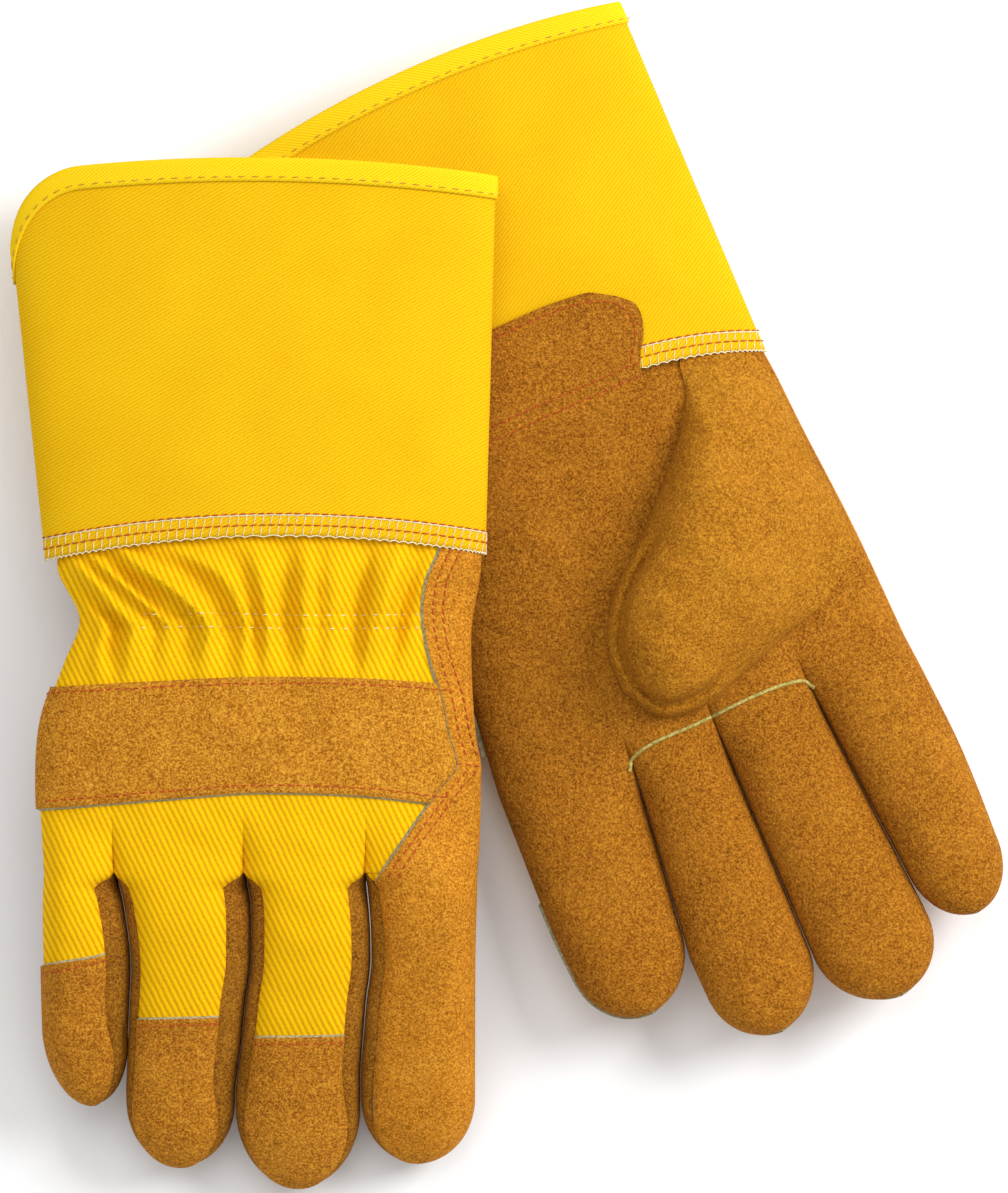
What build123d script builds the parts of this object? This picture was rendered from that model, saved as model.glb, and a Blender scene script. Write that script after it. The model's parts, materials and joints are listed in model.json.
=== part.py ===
"""A pair of leather-palm work gloves with gauntlet cuffs, lying on a flat surface.

Each glove is modelled palm down: X runs from the little finger to the thumb side, -Y points along the
fingers, +Y goes up the forearm, and Z = 0 is the middle of the hand. The left glove is the mirror image
of the right one, so it lies palm up; it is turned about Z and the right glove's cuff rests across it.
Every wall is a closed solid of its real thickness, and the inside of each glove is open to the hand.
"""

import os
from math import cos, radians, sin

from build123d import *

os.makedirs("parts", exist_ok=True)

# ---- Driving dimensions, in millimetres and degrees ----------------------------------------------
# Material thicknesses
leather = 1.3
drill = 0.9
canvas = 1.5
lining = 1.0
tape = 0.7
elastic = 0.8
overlock = 0.6

# Air between neighbours
layer_gap = 0.1  # between two layers of one glove
joint_gap = 0.3  # between pieces that move past each other
finger_gap = 0.8  # between neighbouring fingers

# Cuff
cuff_length = 110.0  # from the wrist seam to the mouth, at the thumb side
mouth_rise = 5.0  # how much higher the middle of the mouth stands
seam_drop = 2.0  # how far the cuff's raw edge comes down past the wrist seam
cuff_wrist_width = 132.0
cuff_mouth_width = 146.0
cuff_wrist_crown = 12.8  # half the height of the flattened tube at the wrist seam
cuff_mouth_crown = 12.2
cuff_wrist_edge = 6.0  # half the height beside the fold
cuff_mouth_edge = 4.8
corner_radius = 23.0  # rounded corner of the mouth on the little finger's side
binding_width = 6.4
binding_end = 78.0  # where the tape stops on the little finger's side
overlock_width = 9.0

# Hand
tuck_depth = 8.0  # how far the hand reaches up inside the cuff
waist_y = -23.0
waist_shift = 3.0  # how far the waist's middle stands towards the thumb
waist_width = 117.0
waist_crown = 11.0
waist_edge = 5.0
palm_y = -68.0
palm_width = 131.0
palm_crown = 13.0
palm_edge = 8.0
knuckle_y = -110.0  # the line where the fingers bend
finger_depth = 24.0
tip_flat = 0.2  # half of what stays flat between the roundings of a fingertip
finger_side_flat = 0.6  # half of what stays flat between the roundings of a finger's side
knuckle_edge = 10.5

# Trims of the hand
strap_top = -42.0
strap_width = 37.0
strap_end_x = 50.0
elastic_width = 8.0
elastic_half_length = 52.0
patch_height = 29.0
patch_left_x = -50.0
patch_right_x = 35.0
patch_corner = 9.0
welt_width = 2.4
welt_height = 1.2
welt_y = -97.0
thumb_hole_radius = 11.0
thumb_hole_inset = 8.0  # from the thumb's root line to the edge of its hole

# Thumb, as corners of its flat outline: (x, y, corner radius)
thumb_outline = [
    (39.0, -3.0, 9.0),
    (24.0, -22.0, 25.0),
    (-9.0, -50.0, 16.0),
    (-17.0, -77.0, 14.0),
    (2.0, -93.0, 14.0),
    (64.5, -74.0, 7.0),
]
thumb_gap = 0.8  # between the thumb and the palm it lies on
thumb_round = 9.0

# How the pair lies
nest_depth = 1.0  # how far the two cuffs nest into each other where they cross
rest_flat = 0.4  # how much the lying glove's strap is pressed flat
left_turn = 24.5
left_beside = 17.42  # how far the left glove's palm stands clear of the right glove's middle line
left_above = 33.6  # how much higher up the left glove's wrist seam lies

# Fingers: name, edge towards the little finger, edge towards the thumb, tip y, top seam of the tip cap
FINGERS = {
    "right": {
        "little": (-66.6, -41.1, -168.0, -124.5),
        "ring": (-41.1, -8.4, -187.5, -142.0),
        "middle": (-8.4, 29.1, -194.0, -147.6),
        "index": (29.1, 63.3, -186.6, None),
    },
    "left": {
        "little": (-60.5, -28.0, -168.5, -126.0),
        "ring": (-28.0, 2.5, -190.0, -143.0),
        "middle": (2.5, 38.5, -195.5, -149.0),
        "index": (38.5, 68.5, -183.0, None),
    },
}
left_curl = 8.0  # how far the left glove's fingers curl up from the palm, at rest

# ---- Heights and angles that follow from the sizes above -----------------------------------------
lying_z = palm_crown + leather + layer_gap - rest_flat
propped_z = lying_z + cuff_wrist_crown + cuff_mouth_crown - nest_depth
thumb_depth = propped_z - palm_crown - thumb_gap  # the propped glove stands on its thumb
finger_half = finger_depth / 2
finger_round = finger_half - finger_side_flat
knuckle_crown = finger_half + layer_gap
left_place = (left_beside + palm_width / 2 / cos(radians(left_turn)), left_above)
longest = max(knuckle_y - tip_y for _, _, tip_y, _ in FINGERS["right"].values())


def tip_height(lean):
    """The height of the longest fingertip's lowest point, with the finger leaning by that angle."""
    reach = longest / cos(lean) - finger_round
    return propped_z - reach * sin(lean) - (finger_half - finger_round) * cos(lean) - finger_round


# The propped glove's fingers droop, in tenths of a degree, until the longest one meets the surface.
right_droop = max(tenths / 10 for tenths in range(600) if tip_height(radians(tenths / 10)) > 0)
DROOP = {"right": right_droop, "left": left_curl}

far = 400.0  # larger than the pair, for cutting planes and blocks
cuff_over = 12.0  # how far the cuff's form runs past each end, to be trimmed by its outline
hole_reach = 2 * palm_crown + 4  # long enough for the thumb's hole to pass through what it cuts


# ---- Shapes shared by the pieces -----------------------------------------------------------------
def lens(y, centre, half_width, crown, edge):
    """A flattened tube's section at one y: two shallow arcs closed by two small round folds."""
    reach = half_width - edge
    with BuildSketch(Plane.XZ.offset(-y)) as section:
        with BuildLine():
            ThreePointArc((centre - reach, edge), (centre, crown), (centre + reach, edge))
            ThreePointArc((centre + reach, edge), (centre + half_width, 0), (centre + reach, -edge))
            ThreePointArc((centre + reach, -edge), (centre, -crown), (centre - reach, -edge))
            ThreePointArc((centre - reach, -edge), (centre - half_width, 0), (centre - reach, edge))
        make_face()
    return section.sketch


def knuckle_span(side):
    """The outer edges of the row of four fingers."""
    return FINGERS[side]["little"][0], FINGERS[side]["index"][1]


def hand_form(side, grow=0.0):
    """The hand from inside the cuff to the knuckle line, its surface moved outwards by grow."""
    low, high = knuckle_span(side)
    centre = (low + high) / 2
    fit = canvas + joint_gap  # from the cuff's outside to the hand tucked into it
    _, tuck_crown, tuck_edge = cuff_section(tuck_depth)
    stations = [
        (tuck_depth, 0, cuff_wrist_width / 2 - fit, tuck_crown - fit, tuck_edge - fit),
        (waist_y, waist_shift, waist_width / 2, waist_crown, waist_edge),
        (palm_y, centre, palm_width / 2, palm_crown, palm_edge),
        (knuckle_y, centre, (high - low) / 2, knuckle_crown, knuckle_edge),
    ]
    with BuildPart() as form:
        for y, middle, half_width, crown, edge in stations:
            add(lens(y, middle, half_width + grow, crown + grow, edge + grow))
        loft(ruled=True)
    return form.part


def cuff_section(y):
    """Half the cuff's width, its crown and the height of its folds, at one y."""
    share = (y + seam_drop + cuff_over) / (cuff_length + seam_drop + 2 * cuff_over)
    slope = (cuff_mouth_width - cuff_wrist_width) / 2 / cuff_length
    crown = cuff_wrist_crown + (cuff_mouth_crown - cuff_wrist_crown) * share
    edge = cuff_wrist_edge + (cuff_mouth_edge - cuff_wrist_edge) * share
    return cuff_wrist_width / 2 + slope * y, crown, edge


def cuff_form(grow=0.0):
    """The gauntlet's flattened tube, longer than the cuff, its surface moved outwards by grow."""
    with BuildPart() as form:
        for y in (-seam_drop - cuff_over, cuff_length + cuff_over):
            half_width, crown, edge = cuff_section(y)
            add(lens(y, 0, half_width + grow, crown + grow, edge + grow))
        loft(ruled=True)
    return form.part


def cuff_plan(grow=0.0):
    """A block with the cuff's outline seen from above: an arched mouth, one corner rounded."""
    clear = 1.0 + grow  # the block's sides stand just outside the folds
    low, high = -seam_drop, cuff_length + grow
    wrist_x = cuff_section(low)[0] + clear
    mouth_x = cuff_section(high)[0] + clear
    with BuildPart() as block:
        with BuildSketch() as outline:
            with BuildLine():
                Polyline((-mouth_x, high), (-wrist_x, low), (wrist_x, low), (mouth_x, high))
                ThreePointArc((mouth_x, high), (0, high + mouth_rise), (-mouth_x, high))
            make_face()
            corner = outline.vertices().group_by(Axis.Y)[-1].sort_by(Axis.X)[0]
            fillet(corner, corner_radius + grow)
        extrude(amount=far / 2, both=True)
    return block.part


def finger_plane(side, name):
    """A finger's own plane: its -Y runs along the finger, and it leans towards the palm."""
    lean = radians(DROOP[side])
    low, high = FINGERS[side][name][:2]
    return Plane(origin=((low + high) / 2, knuckle_y, 0), x_dir=(1, 0, 0), z_dir=(0, -sin(lean), cos(lean)))


def along_finger(side, y):
    """The distance from the knuckle line, along a leaning finger, of a point at that y."""
    return (knuckle_y - y) / cos(radians(DROOP[side]))


def finger_form(side, name, grow=0.0):
    """A finger as a round-sided slab with a domed tip, cut square at the knuckle line."""
    low, high, tip_y, _ = FINGERS[side][name]
    width = high - low - finger_gap + 2 * grow
    length = along_finger(side, tip_y) + grow
    root = finger_depth  # past the knuckle line, trimmed below
    tip_radius = min(width / 2 - tip_flat, length / 2)
    with BuildPart() as form:
        with BuildSketch(finger_plane(side, name)) as outline:
            with Locations((0, root)):
                Rectangle(width, length + root, align=(Align.CENTER, Align.MAX))
            fillet(outline.vertices().group_by(Axis.Y)[0], tip_radius)
        extrude(amount=finger_half + grow, both=True)
        rim = form.faces().sort_by(Axis((0, 0, 0), finger_plane(side, name).z_dir))
        round_edges = [e for face in (rim[0], rim[-1]) for e in face.edges()]
        root_edges = form.edges().sort_by(Axis.Y)[-4:]
        fillet([e for e in round_edges if e not in root_edges], min(finger_round, width / 2 - 1.0) + grow)
        split(bisect_by=Plane.XZ.offset(-(knuckle_y - joint_gap)), keep=Keep.TOP)
    return form.part


def thumb_form(grow=0.0):
    """The thumb as a flat round-edged form lying across the palm."""
    with BuildPart() as form:
        with BuildSketch(Plane.XY.offset(-palm_crown - thumb_gap + grow)) as outline:
            with BuildLine():
                FilletPolyline(
                    *[(x, y) for x, y, _ in thumb_outline],
                    radius=[radius for _, _, radius in thumb_outline],
                    close=True,
                )
            make_face()
            if grow:
                offset(amount=grow, kind=Kind.ARC, mode=Mode.REPLACE)
        extrude(amount=-(thumb_depth + 2 * grow))
        rims = form.edges().group_by(Axis.Z)
        fillet(rims[0] + rims[-1], thumb_round + grow)
    return form.part


def wall(outer, inner, plane, keep):
    """The part of the wall between two forms that lies on one side of a plane."""
    with BuildPart() as shell:
        add(outer)
        add(inner, mode=Mode.SUBTRACT)
        split(bisect_by=plane, keep=keep)
    return shell.part


def block(x0, x1, y0, y1, z0=-far, z1=far):
    """A plain block between two corners."""
    with BuildPart() as box:
        with Locations(((x0 + x1) / 2, (y0 + y1) / 2, (z0 + z1) / 2)):
            Box(x1 - x0, y1 - y0, z1 - z0)
    return box.part


# ---- The pieces of one glove, palm down ----------------------------------------------------------
def cuff():
    """The gauntlet of rubberised canvas, one layer round the wrist and open at both ends."""
    with BuildPart() as piece:
        add(cuff_form())
        add(cuff_form(-canvas), mode=Mode.SUBTRACT)
        add(cuff_plan(), mode=Mode.INTERSECT)
    return piece.part


def cuff_edge_room():
    """The cuff's own wall with a little air round it, for what wraps the cuff's edge."""
    with BuildPart() as room:
        add(cuff_form(layer_gap))
        add(cuff_form(-canvas - layer_gap), mode=Mode.SUBTRACT)
        add(cuff_plan(layer_gap), mode=Mode.INTERSECT)
    return room.part


def below_tape():
    """The block under the tape: inside the rounded corner, and straight out past the fold."""
    with BuildPart() as under:
        add(cuff_plan(layer_gap).moved(Location((0, -binding_width, 0))))
        add(block(0, far, -far, far), mode=Mode.INTERSECT)
        add(cuff_plan(-binding_width))
        add(block(-far, far, -far, binding_end))
    return under.part


def cuff_binding():
    """The tape folded over the mouth's raw edge, down to where it ends beside the little finger."""
    with BuildPart() as piece:
        add(cuff_form(tape + layer_gap))
        add(cuff_form(-canvas - tape - layer_gap), mode=Mode.SUBTRACT)
        add(cuff_plan(tape + layer_gap), mode=Mode.INTERSECT)
        add(below_tape(), mode=Mode.SUBTRACT)
        add(cuff_edge_room(), mode=Mode.SUBTRACT)
    return piece.part


def cuff_overlock():
    """The thread-wrapped raw edge where the cuff is lapped and sewn over the hand."""
    with BuildPart() as piece:
        add(cuff_form(overlock + layer_gap))
        add(cuff_form(layer_gap), mode=Mode.SUBTRACT)
        add(block(-far, far, -seam_drop, overlock_width - seam_drop), mode=Mode.INTERSECT)
        add(patch_region(layer_gap), mode=Mode.SUBTRACT)
    return piece.part


def patch_region(grow=0.0):
    """The pulse patch's outline under the palm side of the cuff, as a block."""
    with BuildPart() as region:
        with BuildSketch() as outline:
            with Locations((patch_left_x - grow, -seam_drop - grow)):
                Rectangle(
                    patch_right_x - patch_left_x + 2 * grow,
                    patch_height + overlock_width + 2 * grow,
                    align=(Align.MIN, Align.MIN),
                )
            fillet(outline.vertices().group_by(Axis.Y)[-1], patch_corner + grow)
        extrude(amount=-far / 2)
    return region.part


def pulse_patch():
    """The flap of palm leather that runs up over the cuff to guard the inside of the wrist."""
    with BuildPart() as piece:
        add(cuff_form(leather + layer_gap))
        add(cuff_form(layer_gap), mode=Mode.SUBTRACT)
        add(patch_region(), mode=Mode.INTERSECT)
    return piece.part


def back_panel(side):
    """The cotton drill over the back of the hand."""
    return wall(hand_form(side), hand_form(side, -drill), Plane.XY, Keep.TOP)


def palm_panel(side):
    """The split leather under the palm, with the round hole that the thumb is set into."""
    with BuildPart() as piece:
        add(wall(hand_form(side), hand_form(side, -leather), Plane.XY, Keep.BOTTOM))
        with Locations(thumb_hole_place()):
            Cylinder(thumb_hole_radius, hole_reach, mode=Mode.SUBTRACT)
    return piece.part


def thumb_hole_place():
    """The middle of the thumb's hole, inside the root of the thumb."""
    root_x = (thumb_outline[0][0] + thumb_outline[-1][0]) / 2
    root_y = (thumb_outline[0][1] + thumb_outline[-1][1]) / 2
    return (root_x - thumb_hole_radius - thumb_hole_inset, root_y, -palm_crown)


def hand_lining(side):
    """The soft cotton lining behind the palm leather."""
    outside = -leather - layer_gap
    with BuildPart() as piece:
        shell_edge = Plane.XY.offset(-layer_gap)
        add(wall(hand_form(side, outside), hand_form(side, outside - lining), shell_edge, Keep.BOTTOM))
        with Locations(thumb_hole_place()):
            Cylinder(thumb_hole_radius + leather, hole_reach, mode=Mode.SUBTRACT)
    return piece.part


def knuckle_strap(side):
    """The leather band sewn across the back of the hand."""
    with BuildPart() as piece:
        add(wall(hand_form(side, leather + layer_gap), hand_form(side, layer_gap), Plane.XY, Keep.TOP))
        add(block(-far, strap_end_x, strap_top - strap_width, strap_top), mode=Mode.INTERSECT)
    return piece.part


def side_strip(side):
    """The palm leather that comes round to the back beside the index finger."""
    with BuildPart() as piece:
        add(wall(hand_form(side, leather + layer_gap), hand_form(side, layer_gap), Plane.XY, Keep.TOP))
        add(block(strap_end_x + joint_gap, far, knuckle_y, -seam_drop - joint_gap), mode=Mode.INTERSECT)
    return piece.part


def wrist_elastic(side):
    """The elastic sewn inside the back that gathers it at the wrist."""
    outside = -drill - layer_gap
    with BuildPart() as piece:
        add(wall(hand_form(side, outside), hand_form(side, outside - elastic), Plane.XY, Keep.TOP))
        low, high = waist_y - elastic_width / 2, waist_y + elastic_width / 2
        add(block(-elastic_half_length, elastic_half_length, low, high), mode=Mode.INTERSECT)
    return piece.part


def finger_welt(side):
    """The narrow leather strip in the seam at the root of the ring and middle fingers."""
    low, high = FINGERS[side]["ring"][0], FINGERS[side]["middle"][1]
    with BuildPart() as piece:
        add(wall(hand_form(side, layer_gap + welt_height), hand_form(side, layer_gap), Plane.XY, Keep.BOTTOM))
        add(block(low, high, welt_y - welt_width / 2, welt_y + welt_width / 2), mode=Mode.INTERSECT)
    return piece.part


def finger_half_wall(side, name, thick, keep):
    """One half of a finger's wall: its palm side (BOTTOM) or its back (TOP)."""
    return wall(finger_form(side, name), finger_form(side, name, -thick), finger_plane(side, name), keep)


def cap_plane(side, name):
    """The plane across a finger where its back ends and its tip cap starts."""
    cap_y = FINGERS[side][name][3]
    across = Plane.XZ.offset(along_finger(side, cap_y))
    return Plane(finger_plane(side, name).location * across.location)


def finger_back(side, name):
    """The back of a finger in cotton drill, from the knuckle line to the tip cap."""
    with BuildPart() as piece:
        add(finger_half_wall(side, name, drill, Keep.TOP))
        split(bisect_by=cap_plane(side, name), keep=Keep.BOTTOM)
    return piece.part


def finger_tip(side, name):
    """The leather cap over the back of a fingertip."""
    with BuildPart() as piece:
        add(finger_half_wall(side, name, leather, Keep.TOP))
        split(bisect_by=cap_plane(side, name), keep=Keep.TOP)
    return piece.part


def thumb_half(keep):
    """One half of the thumb: the outer leather (BOTTOM), or the inner leather with its hole (TOP)."""
    middle = Plane.XY.offset(-palm_crown - thumb_gap - thumb_depth / 2)
    with BuildPart() as piece:
        add(wall(thumb_form(), thumb_form(-leather), middle, keep))
        if keep == Keep.TOP:
            with Locations(thumb_hole_place()):
                Cylinder(thumb_hole_radius, thumb_depth, mode=Mode.SUBTRACT)
    return piece.part


def thumb_welt(side):
    """The leather ring sewn between the palm and the thumb, round the hole that joins them."""
    with BuildPart() as piece:
        with Locations(thumb_hole_place()):
            Cylinder(thumb_hole_radius + leather, 2 * (thumb_gap - layer_gap))
            Cylinder(thumb_hole_radius + leather, palm_crown, align=(Align.CENTER, Align.CENTER, Align.MIN))
            Cylinder(thumb_hole_radius, hole_reach, mode=Mode.SUBTRACT)
        add(hand_form(side, layer_gap), mode=Mode.SUBTRACT)
    return piece.part


# ---- Laying the pieces down ----------------------------------------------------------------------
pieces = {}


def lay(side, name, shape):
    """Puts a piece of a palm-down glove where its glove lies, and keeps it under its full name."""
    with BuildPart() as laid:
        if side == "right":
            add(shape.moved(Location((0, 0, propped_z))))
        else:
            add(shape.mirror(Plane.XY).moved(Location((*left_place, lying_z), (0, 0, left_turn))))
            add(block(-far, far, -far, far, 0, far), mode=Mode.INTERSECT)  # what the surface presses flat
    pieces[f"{side}_{name}"] = laid.part


for side in ("right", "left"):
    lay(side, "cuff", cuff())
    lay(side, "cuff_binding", cuff_binding())
    lay(side, "cuff_overlock", cuff_overlock())
    lay(side, "pulse_patch", pulse_patch())
    lay(side, "back_panel", back_panel(side))
    lay(side, "palm_panel", palm_panel(side))
    lay(side, "hand_lining", hand_lining(side))
    lay(side, "knuckle_strap", knuckle_strap(side))
    lay(side, "side_strip", side_strip(side))
    lay(side, "wrist_elastic", wrist_elastic(side))
    lay(side, "finger_welt", finger_welt(side))
    for finger, (_, _, _, cap_y) in FINGERS[side].items():
        lay(side, f"{finger}_front", finger_half_wall(side, finger, leather, Keep.BOTTOM))
        if cap_y is None:
            lay(side, f"{finger}_back", finger_half_wall(side, finger, leather, Keep.TOP))
        else:
            lay(side, f"{finger}_back", finger_back(side, finger))
            lay(side, f"{finger}_tip", finger_tip(side, finger))
    lay(side, "thumb_front", thumb_half(Keep.BOTTOM))
    lay(side, "thumb_back", thumb_half(Keep.TOP))
    lay(side, "thumb_welt", thumb_welt(side))

# The origin is on the surface under the middle of the pair.
pair = Compound(list(pieces.values())).bounding_box()
to_middle = Location((-pair.center().X, -pair.center().Y, 0))
print("origin of the right glove:", to_middle.position.X, to_middle.position.Y, propped_z)
print("origin of the left glove:", (to_middle * Location((*left_place, lying_z))).position)
print("droop of the propped glove's fingers:", right_droop)
for name, piece in pieces.items():
    with BuildPart() as finished:
        add(piece.moved(to_middle))
    finished.part.label = name
    export_step(finished.part, f"parts/{name}.step")
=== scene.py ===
# %% [markdown]
# # A pair of leather-palm work gloves, made around a fixed frame
#
# The real object is two sewn gloves: brown split leather on the palms, yellow cotton drill on the backs and
# long cuffs of yellow rubberised canvas. The left glove lies palm up and the right one rests across it,
# back up.
#
# The frame holds the sizes, the joints and a plain solid for every piece. Here each plain solid gives way
# to a sewn panel of the same size. Every panel is worked out in the glove's own millimetres, palm down,
# with X towards the thumb side and -Y along the fingers, and only then laid where the frame says its glove
# lies. That way one set of functions cuts both gloves, and the left one is simply the mirror image.

# %% Load the frame
import json
import math
from functools import partial

import bpy
import numpy as np
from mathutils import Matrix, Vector


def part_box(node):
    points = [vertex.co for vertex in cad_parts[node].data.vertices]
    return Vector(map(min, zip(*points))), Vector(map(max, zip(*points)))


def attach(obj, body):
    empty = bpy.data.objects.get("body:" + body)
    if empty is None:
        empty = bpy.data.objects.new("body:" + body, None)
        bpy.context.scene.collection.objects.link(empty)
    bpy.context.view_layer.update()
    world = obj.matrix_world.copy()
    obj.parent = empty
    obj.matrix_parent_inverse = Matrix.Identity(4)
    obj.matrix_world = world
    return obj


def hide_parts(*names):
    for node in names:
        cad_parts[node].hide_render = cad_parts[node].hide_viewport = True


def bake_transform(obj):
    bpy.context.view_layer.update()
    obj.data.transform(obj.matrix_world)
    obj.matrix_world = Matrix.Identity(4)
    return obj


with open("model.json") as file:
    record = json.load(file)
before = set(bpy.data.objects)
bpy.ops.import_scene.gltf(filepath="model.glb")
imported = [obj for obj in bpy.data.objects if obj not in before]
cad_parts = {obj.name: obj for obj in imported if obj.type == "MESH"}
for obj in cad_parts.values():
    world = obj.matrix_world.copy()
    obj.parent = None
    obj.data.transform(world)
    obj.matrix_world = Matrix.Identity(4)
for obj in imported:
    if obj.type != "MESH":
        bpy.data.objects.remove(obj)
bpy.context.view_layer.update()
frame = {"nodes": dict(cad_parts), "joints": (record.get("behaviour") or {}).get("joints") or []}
SIDES = ("right", "left")
FINGERS = ("little", "ring", "middle", "index")
joints = {joint["name"]: joint for joint in frame["joints"]}
print("nodes:", len(frame["nodes"]), "joints:", len(joints))

# %% [markdown]
# ## Where each glove lies
#
# A glove's own origin is the middle of its wrist seam, half way through its thickness. The frame doesn't
# name that point, but it follows from pieces whose place on the glove is known: the wrist elastic is
# centred a little below the seam, and the palm leather ends half way through the glove. The hinge axes also
# give the turn.

# %% Find the two gloves in the frame
WAIST_Y = -23.0
MIRROR = {"right": 1.0, "left": -1.0}
HINGE = {"right": "bend", "left": "curl"}


def find_glove(side):
    """A glove's origin in millimetres and its turn about Z."""
    axis = joints[f"{side}_middle_{HINGE[side]}"]["axis"]
    turn = math.atan2(-axis[1], -axis[0])
    panel_low, panel_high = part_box(f"{side}_palm_panel")
    middle_z = panel_high.z if side == "right" else panel_low.z
    low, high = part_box(f"{side}_wrist_elastic")
    centre = (low + high) / 2 * 1000
    x = centre.x + WAIST_Y * math.sin(turn)
    y = centre.y - WAIST_Y * math.cos(turn)
    return np.array([x, y, middle_z * 1000]), turn


GLOVE = {side: find_glove(side) for side in SIDES}
LEAN = {"right": math.radians(19.5), "left": math.radians(8.0)}  # how steeply the fingers lean to the palm
for side in SIDES:
    print(side, "origin", GLOVE[side][0].round(2), "turn", round(math.degrees(GLOVE[side][1]), 2))


def lay(side, points):
    """Takes points from a palm-down glove's millimetres to where that glove lies, in metres."""
    origin, turn = GLOVE[side]
    points = np.asarray(points, float)
    x, y, z = points[..., 0], points[..., 1], points[..., 2]
    turned_x = x * math.cos(turn) - y * math.sin(turn)
    turned_y = x * math.sin(turn) + y * math.cos(turn)
    laid = np.stack([turned_x, turned_y, z * MIRROR[side]], -1) + origin
    laid[..., 2] = np.maximum(laid[..., 2], 0.05)  # nothing sinks into what the gloves lie on
    return laid / 1000


# %% [markdown]
# ## Smooth values along the glove
#
# A pattern maker gives an outline by a few points and joins them with a fair curve. `curve` does that for
# any value that changes along the glove: a cubic runs through the points and flattens at each highest or
# lowest one, so it never overshoots. `ease` is the same idea for a value that just fades in.

# %% Curves and fades
def curve(at, *pairs):
    """A smooth value at each place, through a few (place, value) pairs."""
    places, values = np.array(sorted(pairs), float).T
    steep = np.diff(values) / np.diff(places)
    slope = np.zeros_like(values)
    slope[1:-1] = np.where(steep[1:] * steep[:-1] > 0, (steep[1:] + steep[:-1]) / 2, 0)
    slope[0], slope[-1] = steep[0], steep[-1]
    at = np.clip(at, places[0], places[-1])
    i = np.clip(np.searchsorted(places, at) - 1, 0, len(places) - 2)
    width = places[i + 1] - places[i]
    t = (at - places[i]) / width
    start = values[i] * (1 + 2 * t) * (1 - t) ** 2 + slope[i] * width * t * (1 - t) ** 2
    end = values[i + 1] * t**2 * (3 - 2 * t) - slope[i + 1] * width * t**2 * (1 - t)
    return start + end


def ease(at, start, end):
    """Fades from 0 at start to 1 at end."""
    t = np.clip((at - start) / (end - start), 0, 1)
    return t * t * (3 - 2 * t)


def ripple(x, y, seed, waves=(31.0, 19.0, 12.0)):
    """A gentle unevenness between about -1 and 1, for cloth and leather that has been handled."""
    random = np.random.default_rng(seed)
    total = np.zeros(np.broadcast(x, y).shape)
    for wave in waves:
        angle, start = random.uniform(0, 2 * math.pi, 2)
        along = x * math.cos(angle) + y * math.sin(angle)
        across = y * math.cos(angle) - x * math.sin(angle)
        drift = start + np.sin(2 * math.pi * across / wave / 1.7)
        total += np.sin(2 * math.pi * along / wave + drift) / len(waves)
    return total


# %% [markdown]
# ## Finishes
#
# Every finish starts from the real material. Split leather is the fleshy side of the hide, brushed to a
# nap, so it is matt, mottled and flecked. Cotton drill is a heavy twill: its diagonal ribs stand proud, with
# painted shade in the grooves between them and painted light on the crests. The cuff's canvas is a finer
# twill, bonded to rubber, so it is smoother. The shader reads object coordinates for leather, which has no
# direction, and the panel's own flat pattern coordinates for cloth, so that the ribs run the way the cloth
# was cut and follow every fold.

# %% Colours and nodes
def linear(hex_colour):
    """An sRGB colour such as "F2C21A" as linear RGBA."""
    channels = [int(hex_colour[i : i + 2], 16) / 255 for i in (0, 2, 4)]
    return [c / 12.92 if c <= 0.04045 else ((c + 0.055) / 1.055) ** 2.4 for c in channels] + [1.0]


def add_node(tree, kind, inputs=None, **settings):
    """Adds a node with its settings; each input is a value, or another node's output to link."""
    node = tree.nodes.new(kind)
    for name, value in settings.items():
        setattr(node, name, value)
    for socket, value in (inputs or {}).items():
        if isinstance(value, bpy.types.NodeSocket):
            tree.links.new(value, node.inputs[socket])
        else:
            node.inputs[socket].default_value = value
    return node


def noise_node(tree, place, scale, detail, roughness):
    """An even noise over a place on the cloth or leather."""
    given = {"Vector": place, "Scale": scale, "Detail": detail, "Roughness": roughness}
    return add_node(tree, "ShaderNodeTexNoise", given)


def new_material(name):
    """A material with only its output and its main shader."""
    material = bpy.data.materials.new(name)
    material.use_nodes = True
    material.node_tree.nodes.clear()
    tree = material.node_tree
    shader = add_node(tree, "ShaderNodeBsdfPrincipled")
    add_node(tree, "ShaderNodeOutputMaterial", {"Surface": shader.outputs[0]})
    return material, tree, shader


def ramp(tree, value, *stops):
    """Turns a value into a colour through (place, hex colour) stops."""
    node = add_node(tree, "ShaderNodeValToRGB", {"Fac": value})
    elements = node.color_ramp.elements
    while len(elements) < len(stops):
        elements.new(0.5)
    for element, (place, colour) in zip(elements, stops):
        element.position = place
        element.color = linear(colour)
    return node.outputs["Color"]


def mix(tree, factor, a, b, blend="MIX"):
    """Mixes two colours."""
    node = add_node(tree, "ShaderNodeMix", data_type="RGBA", blend_type=blend)
    for socket, value in ((0, factor), (6, a), (7, b)):
        if isinstance(value, bpy.types.NodeSocket):
            tree.links.new(value, node.inputs[socket])
        else:
            node.inputs[socket].default_value = value
    return node.outputs[2]


# %% [markdown]
# ### Split leather
#
# The nap is a fleck of less than a millimetre, dark where the fibres stand open and golden where they lie
# flat, over slow patches a centimetre or two wide where the hide took the dye differently. A soft sheen
# catches the fibre tips at a low angle. Typical suede is fully rough, so the roughness is close to 1.

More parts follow.
